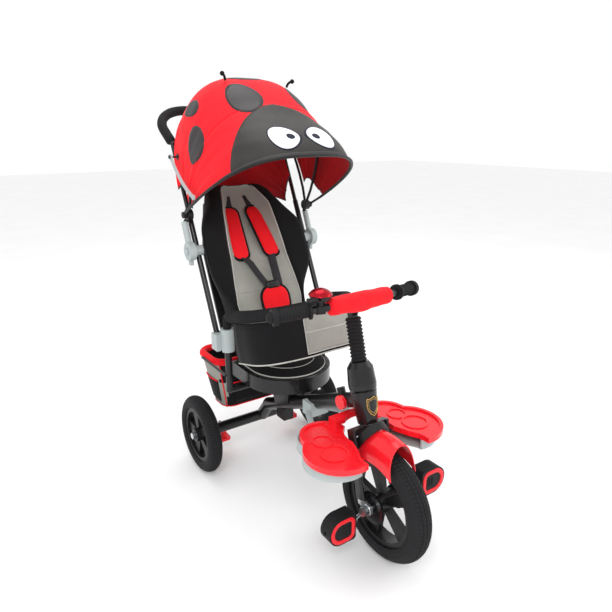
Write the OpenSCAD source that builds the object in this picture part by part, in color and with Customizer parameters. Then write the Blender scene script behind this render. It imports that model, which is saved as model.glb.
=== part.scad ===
// Children's tricycle with a canopy, a padded recliner seat, a guard rail and a parent push handle.
// Millimetres, +Z up, the front faces -Y, the child's left is +X. The floor is Z = 0.
// Stations along the trike are measured backwards from the front axle and placed with at().

/* [Wheels] */
// Outer diameter of the front wheel
front_wheel_d = 296; // [290:1:300]
// Width of the front tyre
front_tyre_w = 56; // [50:1:58]
// Outer diameter of the rear wheels
rear_wheel_d = 240; // [230:1:246]
// Width of the rear tyres
rear_tyre_w = 44; // [40:1:46]
// Distance between the front and the rear axle
wheelbase = 593; // [585:1:600]
// Distance between the middles of the rear tyres
rear_track = 436; // [430:1:440]

/* [Steering] */
// Lean of the steering axis from the vertical
head_angle = 15; // [14:0.5:16]
// Distance of the steering axis behind the front hub, at hub height
steer_lead = 20; // [18:1:21]
// Length of the handlebar over its end knobs
handlebar_w = 428; // [420:2:436]

/* [Seat] */
// Width of the seat pan
pan_w = 260; // [250:2:264]
// Height of the seat pan's rim above the floor
pan_top = 360; // [356:1:362]
// Recline of the backrest from the vertical
recline = 24; // [22:1:25]
// Length of the backrest along its slope
back_len = 480; // [470:5:485]

/* [Push handle and canopy] */
// Lean of the push tubes from the vertical
tube_lean = 24.7; // [24:0.1:25]
// Distance of each push tube from the middle
tube_x = 184; // [183:1:186]
// Half width of the canopy
canopy_hw = 212; // [210:1:214]
// Height of the canopy hubs above the floor
hub_z = 790; // [785:1:795]
// Thickness of the canopy cloth as modelled
cloth_t = 4; // [3:0.5:4]

/* [Hidden] */
$fn = 96;

front_r = front_wheel_d / 2;
rear_r = rear_wheel_d / 2;
// the model's box is centred on the origin, so the front axle stands this far forward
front_y = -384.45;
rear_s = wheelbase;
run_gap = 0.05;
// a joint ball stands this far proud of the tubes it joins
ball = 0.5;
axle_r = 6;

red = [0.85, 0.05, 0.07];
dark_red = [0.35, 0.02, 0.04];
black = [0.09, 0.09, 0.1];
rubber = [0.13, 0.13, 0.14];
grey_cloth = [0.6, 0.61, 0.57];
grey_plastic = [0.68, 0.72, 0.72];
silver = [0.75, 0.77, 0.78];
black_steel = [0.12, 0.12, 0.13];

// A point at x, at station s behind the front axle, and at height z
function at(x, s, z) = [x, s + front_y, z];

// ---- general helpers ----
module both_sides() {
    children();
    mirror([1, 0, 0]) children();
}

module rod(p, q, r) {
    d = q - p;
    length = norm(d);
    translate(p) rotate([0, acos(d.z / length), atan2(d.y, d.x)]) cylinder(h = length, r = r);
}

// cylinder along X from x = a to x = b
module cross_rod(p, a, b, r) {
    translate([a, p.y, p.z]) rotate([0, 90, 0]) cylinder(h = b - a, r = r);
}

module rounded_rect(w, d, r) {
    for (sx = [-1, 1]) for (sy = [-1, 1])
        translate([sx * (w / 2 - r), sy * (d / 2 - r)]) circle(r);
    square([w - 2 * r, d], center = true);
    square([w, d - 2 * r], center = true);
}

// points of an ellipse arc
function ellipse(a, b, from, to, steps) =
    [for (i = [0 : steps]) let (t = from + (to - from) * i / steps) [a * sin(t), b * cos(t)]];

// ---- steering axis ----
module steer() {
    translate(at(0, steer_lead, front_r)) rotate([-head_angle, 0, 0]) children();
}

// point on the steering axis, a length up it from hub height
function steer_at(l) =
    at(0, steer_lead, front_r) + [0, l * sin(head_angle), l * cos(head_angle)];

// ---- wheels ----
module tyre_section(r, w, bead) {
    wall = 5;
    difference() {
        union() {
            translate([r - w / 2, 0]) circle(w / 2);
            translate([bead, -w * 0.34]) square([r - w / 2 - bead, w * 0.68]);
        }
        translate([r - w / 2, 0]) circle(w / 2 - wall);
        translate([bead - 1, -w * 0.34 + wall]) square([r - w / 2 - bead + 1, w * 0.68 - 2 * wall]);
        translate([bead - w, -w]) square([w, 2 * w]);
    }
}

module tyre(r, w, bead) {
    rotate([0, 90, 0]) rotate_extrude() tyre_section(r, w, bead);
}

// five-spoke moulded wheel with a stepped rim
module mag_wheel(bead, rim_w, hub_r, hub_w, spoke_w, bore) {
    rim_t = 12;
    rotate([0, 90, 0]) difference() {
        union() {
            difference() {
                cylinder(h = rim_w, r = bead, center = true);
                cylinder(h = rim_w + 2, r = bead - rim_t, center = true);
            }
            cylinder(h = hub_w, r = hub_r, center = true);
            for (i = [0 : 4]) rotate([0, 0, i * 72 + 18])
                translate([0, 0, -8]) linear_extrude(16)
                    polygon([[hub_r - 8, -spoke_w * 0.3], [bead - rim_t + 3, -spoke_w * 0.72],
                             [bead - rim_t + 3, spoke_w * 0.72], [hub_r - 8, spoke_w * 0.3]]);
        }
        cylinder(h = hub_w + 2, r = bore, center = true);
    }
}

front_bead = 106;
rear_bead = 84;

module front_tyre() {
    color(rubber) translate(at(0, 0, front_r)) tyre(front_r, front_tyre_w, front_bead);
}

module front_rim() {
    color(black) translate(at(0, 0, front_r)) mag_wheel(front_bead, 38, 23, 72, 28, axle_r + run_gap);
}

module clutch_disc() {
    color(dark_red) difference() {
        union() {
            cross_rod(at(0, 0, front_r), -41, -36, 40);
            cross_rod(at(0, 0, front_r), 36, 41, 30);
        }
        cross_rod(at(0, 0, front_r), -45, 45, axle_r + run_gap);
    }
}

module rear_tyre(side) {
    color(rubber) translate(at(side * rear_track / 2, rear_s, rear_r)) tyre(rear_r, rear_tyre_w, rear_bead);
}

module rear_rim(side) {
    color(black) translate(at(side * rear_track / 2, rear_s, rear_r))
        mag_wheel(rear_bead, 30, 21, 44, 24, axle_r + run_gap);
}

// ---- main frame ----
tube_r = 20;
tube_slope = 0.46;
// centre height of the main tube at a station
function tube_z(s) = 333 - tube_slope * (s - 210);
head_low = 194;
head_high = 276;
brake_x = 130;
brake_s = rear_s + 27;
brake_z = 112;
pan_low = 318;

module main_frame() {
    color(black_steel) difference() {
        union() {
            rod(at(0, 96, tube_z(96)), at(0, 548, tube_z(548)), tube_r);
            translate(at(0, 548, tube_z(548))) sphere(tube_r + ball);
            rod(at(0, 548, tube_z(548)), at(0, rear_s, rear_r), tube_r);
            steer() translate([0, 0, head_low]) cylinder(h = head_high - head_low, r = 19.5);
            cross_rod(at(0, rear_s, rear_r), -190, 190, 17);
            // seat bracket
            translate(at(0, 0, 0)) rotate([90, 0, 90]) translate([0, 0, -22]) linear_extrude(44)
                polygon([[400, tube_z(400)], [470, tube_z(470)], [520, pan_low], [392, pan_low]]);
            // brake lugs
            both_sides() difference() {
                translate(at(brake_x + 6, rear_s, brake_z - 9)) cube([6, 38, 18]);
                cross_rod(at(0, brake_s, brake_z), brake_x, brake_x + 20, 4);
            }
        }
        steer() translate([0, 0, head_low - 1]) cylinder(h = head_high - head_low + 2, r = 16);
        cross_rod(at(0, rear_s, rear_r), -200, 200, axle_r);
        cross_rod(at(0, post_s, cross_z), -30, 30, cross_r);
    }
}

module headset_bushes() {
    color(silver) steer() {
        for (z = [head_low - 3, head_high - 12]) difference() {
            union() {
                translate([0, 0, z + (z < 200 ? 3 : 0)]) cylinder(h = 12, r = 16);
                translate([0, 0, z < 200 ? z : z + 12]) cylinder(h = 3, r = 18);
            }
            translate([0, 0, z - 1]) cylinder(h = 20, r = 12.5 + run_gap);
        }
    }
}

module head_cover() {
    color(black) difference() {
        steer() translate([0, 0, head_low]) difference() {
            cylinder(h = 80, r1 = 25, r2 = 33);
            translate([0, 0, -1]) cylinder(h = 84, r = 20);
        }
        rod(at(0, 70, tube_z(70)), at(0, 200, tube_z(200)), tube_r + 0.5);
    }
}

module frame_caps() {
    color(red) both_sides() cross_rod(at(0, 146, tube_z(146)), tube_r + 0.2, tube_r + 9, 18);
}

// black plastic block below the main tube, and the clamp knob above it
module frame_plug() {
    color(black) {
        difference() {
            translate(at(-17, 430, tube_z(451) - 48)) cube([34, 42, 40]);
            rod(at(0, 400, tube_z(400)), at(0, 500, tube_z(500)), tube_r + 0.1);
        }
        difference() {
            rod(at(0, 166, tube_z(166)), at(0, 166, tube_z(166)) + [0, 14, 31], 11);
            rod(at(0, 120, tube_z(120)), at(0, 220, tube_z(220)), tube_r + 0.1);
        }
    }
}

// ---- seat ----
pan_back = 540;
pan_front_s = 312;

module pan_outline(inset) {
    r = pan_w / 2 - inset;
    middle = pan_front_s + pan_w / 2;
    intersection() {
        union() {
            translate([0, middle]) circle(r);
            translate([-r, middle]) square([2 * r, pan_w]);
        }
        translate([-r, pan_front_s]) square([2 * r, pan_back - inset - pan_front_s]);
    }
}

module seat_pan() {
    color(black) translate(at(0, 0, pan_low)) difference() {
        linear_extrude(pan_top - pan_low) pan_outline(0);
        translate([0, 0, 30]) linear_extrude(40) pan_outline(12);
        difference() {
            translate([0, 0, -1]) linear_extrude(25) pan_outline(6);
            translate([-26, 380, -2]) cube([52, 160, 30]);
        }
    }
}

module seat_cushion() {
    color(grey_cloth) translate(at(0, 0, pan_low + 30.2)) linear_extrude(32) pan_outline(14);
}

// ---- side posts, sockets and push tubes ----
post_x = 165;
post_s = 487;
socket_low = 420;
socket_high = 486;
cross_z = 298;
cross_r = 10;
guard_post_r = 8;
push_outer_r = 8;
push_inner_r = 6.2;
// station of the push tube's centre at a height
function push_s(z) = 507 + (z - 450) * tan(tube_lean);
pivot_z = 689;
pivot_s = push_s(pivot_z) - 4;

module side_posts() {
    color(black_steel) {
        rod(at(-post_x, post_s, cross_z), at(post_x, post_s, cross_z), cross_r);
        both_sides() {
            translate(at(post_x, post_s, cross_z)) sphere(cross_r + ball);
            rod(at(post_x, post_s, cross_z), at(post_x, post_s, socket_low), cross_r);
            // wire that carries the basket rim
            rod(at(post_x + 10.5, post_s, basket_z), at(post_x + 10.5, 650, basket_z), 4);
        }
    }
}

// grey sockets for the guard posts, and the fixed halves of the canopy pivots
module tube_fittings() {
    color(grey_plastic) both_sides() {
        difference() {
            union() {
                translate(at(post_x, post_s, socket_low)) cylinder(h = socket_high - socket_low, r = 19);
                translate(at(post_x + 4, post_s, socket_low + 4)) cube([30, 34, 48]);
            }
            translate(at(post_x, post_s, socket_low - 1)) cylinder(h = 80, r = guard_post_r + run_gap);
            rod(at(tube_x, push_s(400), 400), at(tube_x, push_s(520), 520), push_outer_r + 0.1);
        }
        difference() {
            union() {
                cross_rod(at(0, pivot_s, pivot_z), tube_x - 12, tube_x + 13, 15);
                cross_rod(at(0, pivot_s, pivot_z), tube_x + 12, tube_x + 35, 5);
                cross_rod(at(0, pivot_s, pivot_z), tube_x + 32, tube_x + 36, 9);
            }
            rod(at(tube_x, push_s(600), 600), at(tube_x, push_s(800), 800), push_outer_r + 0.1);
        }
    }
}

push_top_z = 800;

module push_tubes() {
    color(black_steel) both_sides() difference() {
        rod(at(tube_x, push_s(426), 426), at(tube_x, push_s(push_top_z), push_top_z), push_outer_r);
        rod(at(tube_x, push_s(405), 405), at(tube_x, push_s(820), 820), push_inner_r + run_gap);
    }
}

module rear_axle() {
    color(silver) cross_rod(at(0, rear_s, rear_r), -244, 244, axle_r);
}

// domed nuts on the rear axle, spacers beside the wheels and the screws of the frame
module frame_fasteners() {
    color(silver) both_sides() {
        difference() {
            union() {
                cross_rod(at(0, rear_s, rear_r), 241, 249, 10);
                cross_rod(at(0, rear_s, rear_r), 190.2, 195.5, 10);
            }
            cross_rod(at(0, rear_s, rear_r), 180, 244, axle_r);
        }
        cross_rod(at(0, brake_s, brake_z), brake_x - 7, brake_x + 12, 4);
        cross_rod(at(0, brake_s, brake_z), brake_x - 9, brake_x - 6, 7);
    }
}

// ---- brake levers ----
module brake_lever(side) {
    bx = side > 0 ? 0 : 1;
    color(red) mirror([bx, 0, 0]) difference() {
        union() {
            translate(at(brake_x - 5, brake_s - 8, 62)) cube([10, 16, brake_z - 62]);
            cross_rod(at(0, brake_s, brake_z), brake_x - 5, brake_x + 5, 9);
            translate(at(brake_x, brake_s + 8, 56)) linear_extrude(9) rounded_rect(38, 46, 9);
        }
        cross_rod(at(0, brake_s, brake_z), brake_x - 9, brake_x + 9, 4 + run_gap);
    }
}

// ---- footrest ----
foot_z = 300;
foot_t = 14;

// the plan of one lobe, at the child's left
module lobe(inset) {
    translate([110, 40]) circle(86 - inset);
    translate([98, 113]) circle(62 - inset);
}

// the room that the mudguard and the fork sweep when they steer
module steer_room(more) {
    translate([0, 58]) circle(66 + more);
    both = [[66, 45], [79, 8], [91, -14], [94, -30], [94, -112]];
    polygon(concat([for (p = both) p + [more, 0]], [for (i = [4 : -1 : 0]) [-both[i].x - more, both[i].y]]));
}

module footrest_tray() {
    color(red) translate(at(0, 0, foot_z)) {
        difference() {
            union() {
                both_sides() linear_extrude(foot_t) lobe(0);
                both_sides() translate([48, 112, 0]) cube([16, 32, 36]);
                translate([-64, 112, 24]) cube([128, 32, 12]);
            }
            translate([0, 0, -1]) linear_extrude(50) steer_room(0);
            both_sides() translate([0, 0, foot_t - 5]) linear_extrude(10) difference() {
                lobe(9);
                steer_room(9);
                translate([40, 104]) square([32, 48]);
            }
        }
        // raised oval ribs
        both_sides() for (k = [0, 1]) difference() {
            translate([128 - 8 * k, 36 + 58 * k, foot_t - 5.01]) cylinder(h = 3, r = 34 - 8 * k);
            translate([128 - 8 * k, 36 + 58 * k, foot_t - 6]) cylinder(h = 6, r = 30 - 8 * k);
        }
    }
}

// grey shells that close the lobes from below
module footrest_shells() {
    color(grey_plastic) both_sides() translate(at(0, 0, foot_z - 28)) difference() {
        linear_extrude(27.8) union() {
            translate([112, 52]) circle(78);
            translate([100, 122]) circle(62);
        }
        translate([0, 0, 4]) linear_extrude(30) union() {
            translate([112, 52]) circle(74);
            translate([100, 122]) circle(58);
        }
        translate([0, 0, -1]) linear_extrude(40) steer_room(1);
    }
}

// red clamp below the main tube with the grey arms that carry the shells
module footrest_mount() {
    clamp_s = 290;
    color(red) difference() {
        translate(at(-30, clamp_s - 20, tube_z(clamp_s) - 34)) cube([60, 40, 40]);
        rod(at(0, 230, tube_z(230)), at(0, 350, tube_z(350)), tube_r + 0.1);
    }
    color(grey_plastic) both_sides()
        rod(at(30, clamp_s - 6, tube_z(clamp_s) - 24), at(82, 181, 282), 8);
}

// ---- basket ----
basket_z = 345;
basket_low = 190;
basket_front = 572;
basket_deep = 138;
rim_x = 160;
rim_r = 11;

module basket_slice(z, w, d, s) {
    translate(at(0, s, z)) linear_extrude(1) rounded_rect(w, d, 20, $fn = 32);
}

module basket_body() {
    color(grey_cloth) difference() {
        hull() {
            basket_slice(basket_low, 280, 98, 622);
            basket_slice(basket_z - 12, 2 * rim_x, basket_deep, basket_front + basket_deep / 2);
        }
        hull() {
            basket_slice(basket_low + 5, 270, 88, 622);
            basket_slice(basket_z, 2 * rim_x - 10, basket_deep - 10, basket_front + basket_deep / 2);
        }
    }
}

// closed ring of round section that follows a rounded rectangle
module ring_tube(w, d, corner, r) {
    for (sx = [-1, 1]) {
        translate([sx * w / 2, -(d / 2 - corner), 0]) rotate([-90, 0, 0]) cylinder(h = d - 2 * corner, r = r);
        translate([-(w / 2 - corner), sx * d / 2, 0]) rotate([0, 90, 0]) cylinder(h = w - 2 * corner, r = r);
        for (sy = [-1, 1]) translate([sx * (w / 2 - corner), sy * (d / 2 - corner), 0])
            rotate([0, 0, sx > 0 ? (sy > 0 ? 0 : -90) : (sy > 0 ? 90 : 180)])
                rotate_extrude(angle = 90) translate([corner, 0]) circle(r);
    }
}

module basket_rim() {
    color(red) translate(at(0, basket_front + basket_deep / 2, basket_z))
        ring_tube(2 * rim_x, basket_deep, 40, rim_r);
}

// ---- fork ----
leg_x = 52;
leg_low = 16;
crown_low = 172;
crown_high = 188;
column_top = 478;

module fork() {
    color(black_steel) steer() {
        both_sides() translate([leg_x, 0, leg_low]) linear_extrude(crown_high - leg_low) rounded_rect(12, 27, 5.9);
        translate([-leg_x, -8, crown_low]) cube([2 * leg_x, 21, crown_high - crown_low]);
        translate([0, 0, crown_high - 1]) cylinder(h = column_top - crown_high + 1, r = 12.5);
    }
}

// zinc plates that carry the axle ahead of the legs
module fork_dropouts() {
    hub_local = [-steer_lead * cos(head_angle), -steer_lead * sin(head_angle)];
    color(silver) steer() both_sides() translate([leg_x - 3, 0, 0]) rotate([90, 0, 90]) difference() {
        linear_extrude(6) union() {
            translate([-11, 2]) square([22, leg_low - 2]);
            translate(hub_local) circle(15);
            polygon([[-11, 16], [11, 16], [11, 6], [hub_local.x + 10, hub_local.y - 11], [hub_local.x - 12, hub_local.y + 9]]);
        }
        translate([hub_local.x, hub_local.y, -1]) cylinder(h = 9, r = 9);
    }
}

module crank_bushes() {
    color(silver) both_sides() difference() {
        union() {
            cross_rod(at(0, 0, front_r), leg_x - 3.2, leg_x + 5, 9);
            cross_rod(at(0, 0, front_r), leg_x + 3, leg_x + 8, 13);
        }
        cross_rod(at(0, 0, front_r), leg_x - 8, leg_x + 12, axle_r + run_gap);
    }
}

// ---- mudguard ----
guard_side_r = 120;
guard_rise = 67;
guard_hw = 41;
guard_t = 2.6;

module guard_section(grow) {
    translate([guard_side_r, 0]) polygon(concat(
        [for (p = ellipse(guard_hw + grow, guard_rise + grow, -90, 90, 28)) [p.y, p.x]],
        [for (p = ellipse(guard_hw - guard_t, guard_rise - guard_t, 90, -90, 28)) [p.y, p.x]]));
}

// strap plane, leaning forward
strap_s = 60;
strap_z = 292;
strap_lean = 27.8;

module front_fender() {
    color(red) intersection() {
        translate(at(0, 0, front_r)) rotate([0, -90, 0]) rotate([0, 0, -31])
            rotate_extrude(angle = 62) guard_section(0);
        steer() cylinder(h = 400, r = 111);
        // the part ahead of the strap
        translate(at(0, strap_s, strap_z)) rotate([strap_lean, 0, 0]) translate([-100, -208, -200]) cube([200, 200, 400]);
    }
}

module fender_strap() {
    color(black) translate(at(0, strap_s, strap_z)) rotate([strap_lean, 0, 0]) rotate([90, 0, 0])
        translate([0, 0, -7]) linear_extrude(20) difference() {
            polygon(ellipse(46, 62, -90, 90, 32));
            polygon(ellipse(43.2, 58.8, -90, 90, 32));
        }
}

// ---- column ----
module column_cover() {
    color(black) steer() difference() {
        union() {
            translate([0, 0, 280]) cylinder(h = 12, r1 = 34, r2 = 35);
            translate([0, 0, 292]) cylinder(h = 40, r1 = 35, r2 = 32);
            translate([0, 0, 332]) cylinder(h = 14, r1 = 32, r2 = 23);
        }
        translate([0, 0, 279]) cylinder(h = 70, r = 12.5);
        translate([0, 0, 279]) cylinder(h = 50, r = 28);
    }
}

bellows_low = 346;
bellows_pitch = 9;
bellows_count = 12;

module bellows() {
    color(rubber) steer() difference() {
        union() for (i = [0 : bellows_count - 1]) translate([0, 0, bellows_low + 0.2 + i * bellows_pitch]) {
            cylinder(h = bellows_pitch / 2, r1 = 16.5, r2 = 20);
            translate([0, 0, bellows_pitch / 2]) cylinder(h = bellows_pitch / 2, r1 = 20, r2 = 16.5);
        }
        translate([0, 0, bellows_low - 1]) cylinder(h = 120, r = 12.6);
    }
}

// ---- handlebar ----
bar_mid = at(0, 110, 632);
bar_knee = at(84, 114, 634);
bar_end = at(handlebar_w / 2 - 2, 157, 621);
bar_r = 9;

module handlebar() {
    color(black_steel) {
        cross_rod([0, bar_knee.y, bar_knee.z], -bar_knee.x, bar_knee.x, bar_r);
        both_sides() {
            cross_rod(bar_knee, bar_knee.x - 10, bar_knee.x + 4, bar_r + 1.5);
            rod(bar_knee, bar_end, bar_r);
        }
        // stem from the column to the bar
        difference() {
            rod(steer_at(column_top - 14), bar_mid + [0, 4, 0], 12);
            steer() cylinder(h = column_top, r = 12.5);
        }
    }
}

pad_r = 20;
pad_hw = 90;

module handlebar_pad() {
    axis = [0, bar_knee.y, bar_knee.z];
    color(red) difference() {
        union() {
            cross_rod(axis, -pad_hw + 10, pad_hw - 10, pad_r);
            both_sides() translate(axis + [pad_hw - 10.01, 0, 0]) rotate([0, 90, 0])
                cylinder(h = 10, r1 = pad_r, r2 = pad_r - 6);
        }
        cross_rod(axis, -pad_hw - 5, pad_hw + 5, bar_r + 2.2);
        rod(steer_at(column_top - 14), bar_mid + [0, 4, 0], 12.3);
    }
}

// a point along the grip part of the bar, t from the knee to the end
function bar_pt(t) = bar_knee + (bar_end - bar_knee) * t;

module grips() {
    color(rubber) both_sides() difference() {
        union() {
            rod(bar_pt(0.36), bar_pt(1), 14.5);
            rod(bar_pt(0.36), bar_pt(0.40), 20);
            rod(bar_pt(0.93), bar_pt(1.02), 20);
            translate(bar_pt(1.02)) sphere(13);
        }
        rod(bar_knee, bar_end, bar_r);
    }
}

// ---- bell ----
bell_pt = bar_knee + (bar_end - bar_knee) * 0.19;

module bell_pose() {
    mirror([1, 0, 0]) translate(bell_pt) children();
}

bell_pin = [18, -13];
bell_pin_r = 1.5;

module bell_base() {
    color(black) {
        difference() {
            bell_pose() {
                rod([-9, -3, 0], [9, 3, 0], 13);
                cylinder(h = 30, r = 9);
                translate([0, 0, 22]) cylinder(h = 12, r1 = 22, r2 = 27);
            }
            mirror([1, 0, 0]) rod(bar_knee, bar_end, bar_r);
            bell_pose() translate([13, -22, 26]) cube([40, 14, 8.1]);
        }
        bell_pose() translate([bell_pin.x, bell_pin.y, 24]) cylinder(h = 9, r = bell_pin_r);
    }
}

module bell_dome() {
    color(dark_red) bell_pose() translate([0, 0, 34.2]) intersection() {
        translate([0, 0, -18]) difference() {
            sphere(33);
            sphere(30.5);
        }
        cylinder(h = 40, r = 40);
    }
}

// thumb lever that turns on the pin of the bell's base
module bell_lever() {
    color(black) bell_pose() translate([bell_pin.x, bell_pin.y, 26.3]) difference() {
        union() {
            cylinder(h = 7, r = 3.5);
            translate([0, -2.5, 0]) cube([22, 5, 7]);
            translate([22, 0, 0]) cylinder(h = 7, r = 6);
        }
        translate([0, 0, -1]) cylinder(h = 10, r = bell_pin_r + run_gap);
    }
}

// ---- crank and pedals ----
arm_back = 30;
arm_down = 42;
pedal_in = 77;
pedal_out = 156;
spindle_r = 5;

module crank() {
    color(silver) {
        cross_rod(at(0, 0, front_r), -71, 71, axle_r);
        for (side = [-1, 1]) {
            pin = at(0, -side * arm_back, front_r + side * arm_down);
            hub = at(0, 0, front_r);
            x = side > 0 ? 63 : -71;
            rod([x + 4, hub.y, hub.z], [x + 4, pin.y, pin.z], 4);
            cross_rod(hub, x, x + 8, 11);
            cross_rod(pin, x, x + 8, 9);
            cross_rod(pin, side > 0 ? 66 : -pedal_out + 8, side > 0 ? pedal_out - 8 : -66, spindle_r);
        }
    }
}

module pedal(side) {
    pin = at(0, -side * arm_back, front_r + side * arm_down);
    mid = (pedal_in + pedal_out) / 2;
    length = pedal_out - pedal_in;
    flip = side > 0 ? 0 : 1;
    color(rubber) difference() {
        translate([side * mid, pin.y, pin.z]) mirror([flip, 0, 0]) rotate([90, 0, 0])
            translate([0, 0, -19]) linear_extrude(38) {
                translate([length / 2 - 36, 0]) circle(36);
                translate([-length / 2, -28]) square([30, 56]);
                translate([-length / 2 + 8, -36]) square([length - 44, 72]);
                for (sy = [-1, 1]) translate([-length / 2 + 8, sy * 28]) circle(8);
            }
        cross_rod(pin, -200, 200, spindle_r + run_gap);
    }
}

// ---- backrest ----
hinge_s = 552;
hinge_z = 392;
board_t = 8;
board_low = 16;
// the hinge pin in the backrest's own frame
pin_back = 20;
pin_up = 4;
hinge_pin_r = 5;
knuckle_r = 10;
knuckle_in = 60;
knuckle_out = 96;

module back_pose() {
    translate(at(0, hinge_s, hinge_z)) rotate([-recline, 0, 0]) children();
}

module backrest_board() {
    color(black) back_pose() difference() {
        union() {
            translate([0, board_t, 0]) rotate([90, 0, 0]) linear_extrude(board_t) {
                translate([-140, board_low]) square([280, 310 - board_low]);
                polygon([[-140, 309], [140, 309], [104, back_len - 30], [-104, back_len - 30]]);
                translate([0, back_len - 106]) circle(106);
            }
            both_sides() {
                cross_rod([0, pin_back, pin_up], knuckle_in, knuckle_out, knuckle_r);
                translate([knuckle_in, board_t - 1, board_low]) rotate([90, 0, 90])
                    linear_extrude(knuckle_out - knuckle_in)
                        polygon([[0, 0], [pin_back - board_t + 4, -6], [pin_back - board_t + 8, -8], [0, 40]]);
            }
        }
        cross_rod([0, pin_back, pin_up], -110, 110, hinge_pin_r + run_gap);
    }
}

// pin and brackets that carry the backrest above the seat pan
module recline_hinge() {
    color(black_steel) {
        back_pose() cross_rod([0, pin_back, pin_up], -108, 108, hinge_pin_r);
        both_sides() translate([knuckle_out + 1, 0, 0]) {
            back_pose() cross_rod([0, pin_back, pin_up], 0, 8, 9);
            translate(at(0, 0, 0)) rotate([90, 0, 90]) linear_extrude(8)
                polygon([[pan_back + 0.1, 325], [pan_back + 9, 325], [pan_back + 10, 362], [583, 386],
                         [568, 402], [pan_back + 0.1, 366]]);
        }
    }
}

// side profiles of the liner, as [forward, up] in the backrest's frame
middle_profile = [[0.3, 24], [90, 30], [104, 100], [98, 143], [72, 211], [41, 312], [21, 414], [14, 470], [0.3, 470]];
bolster_profile = [[0.3, 24], [85, 30], [90, 143], [84, 250], [81, 345], [78, 423], [45, 470], [30, 494], [0.3, 470]];
bolster_in = 80;
bolster_out = 125;
wing_out = 172;
wing_low = 190;
wing_high = 420;

module along_back(profile, x0, x1) {
    translate([x0, 0, 0]) rotate([90, 0, 90]) linear_extrude(x1 - x0) polygon([for (p = profile) [-p.x, p.y]]);
}

// padded liner: a middle panel, two side bolsters and two wings that reach outward
module backrest_pad() {
    color(black) back_pose() {
        along_back(middle_profile, -bolster_in, bolster_in);
        both_sides() {
            along_back(bolster_profile, bolster_in - 0.01, bolster_out);
            translate([0, 0, wing_low]) linear_extrude(wing_high - wing_low)
                polygon([[bolster_out - 1, -34], [bolster_out - 1, -83], [wing_out - 4, -94], [wing_out, -80],
                         [bolster_out + 25, -40]]);
        }
    }
}

// ---- harness ----
// two shoulder pads and the crotch pad
module harness_pads() {
    color(red) back_pose() {
        both_sides() translate([47, -43, 336]) rotate([-14, -5, 0]) rotate([90, 0, 0])
            linear_extrude(13) rounded_rect(46, 178, 18);
        translate([0, -110, 112]) rotate([2, 0, 0]) rotate([90, 0, 0]) linear_extrude(14)
            rounded_rect(74, 84, 30);
    }
}

// webbing from the shoulder pads to the buckle above the crotch pad
module harness_straps() {
    color(black) back_pose() both_sides()
        translate([38, -79, 243]) rotate([-25, 0, 0]) rotate([0, 12, 0]) translate([-13, -1.5, -88]) cube([26, 3, 88]);
}

// ---- guard rail ----
guard_tilt = 15;
guard_rear_z = 521;
guard_reach = 190;
guard_bend = 96;
foam_r = 17;

module guard_pose() {
    translate(at(0, post_s, guard_rear_z)) rotate([-guard_tilt, 0, 0]) children();
}

// U run of a round section in the XY plane: open end at Y = 0, closed end at Y = -reach
module u_tube(hw, reach, bend, r) {
    translate([-(hw - bend), -reach, 0]) rotate([0, 90, 0]) cylinder(h = 2 * (hw - bend), r = r);
    for (sx = [-1, 1]) {
        translate([sx * hw, -(reach - bend), 0]) rotate([-90, 0, 0]) cylinder(h = reach - bend, r = r);
        translate([sx * (hw - bend), -(reach - bend), 0]) rotate([0, 0, sx > 0 ? -90 : 180])
            rotate_extrude(angle = 90) translate([bend, 0]) circle(r);
    }
}

module guard_tube() {
    color(black_steel) {
        guard_pose() u_tube(post_x, guard_reach, guard_bend, guard_post_r);
        both_sides() {
            translate(at(post_x, post_s, guard_rear_z)) sphere(guard_post_r + ball);
            rod(at(post_x, post_s, socket_low + 12), at(post_x, post_s, guard_rear_z), guard_post_r);
        }
    }
}

module guard_foam() {
    color(rubber) difference() {
        union() {
            guard_pose() u_tube(post_x, guard_reach, guard_bend, foam_r);
            both_sides() {
                translate(at(post_x, post_s, guard_rear_z)) sphere(foam_r + ball);
                rod(at(post_x, post_s, socket_high + 1), at(post_x, post_s, guard_rear_z), 12);
            }
        }
        guard_pose() u_tube(post_x, guard_reach, guard_bend, guard_post_r);
        both_sides() {
            translate(at(post_x, post_s, guard_rear_z)) sphere(guard_post_r + ball);
            rod(at(post_x, post_s, socket_low), at(post_x, post_s, guard_rear_z), guard_post_r);
        }
    }
}

module u_plan(hw, reach, bend, open) {
    translate([-(hw - bend), -reach]) square([2 * (hw - bend), reach - open]);
    translate([-hw, -(reach - bend)]) square([2 * hw, reach - bend - open]);
    for (sx = [-1, 1]) translate([sx * (hw - bend), -(reach - bend)]) circle(bend);
}

module guard_apron() {
    drop = 112;
    color(black) guard_pose() translate([0, 0, -drop - foam_r - 0.5]) linear_extrude(drop) difference() {
        u_plan(post_x + 2, guard_reach + 2, guard_bend + 2, 26);
        translate([0, 30]) u_plan(post_x - 2, guard_reach + 28, guard_bend - 2, 0);
    }
}

// ---- push handle ----
bend_z = 979;
loop_rise = 32;
loop_reach = 180;
loop_bend = 112;
grip_r = 14;
handle_low = 560;

module loop_pose() {
    translate(at(0, push_s(bend_z), bend_z)) rotate([loop_rise, 0, 0]) mirror([0, 1, 0]) children();
}

module push_handle() {
    color(black_steel) {
        loop_pose() u_tube(tube_x, loop_reach, loop_bend, push_inner_r);
        both_sides() {
            translate(at(tube_x, push_s(bend_z), bend_z)) sphere(push_inner_r + ball);
            rod(at(tube_x, push_s(handle_low), handle_low), at(tube_x, push_s(bend_z), bend_z), push_inner_r);
        }
    }
}

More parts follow.
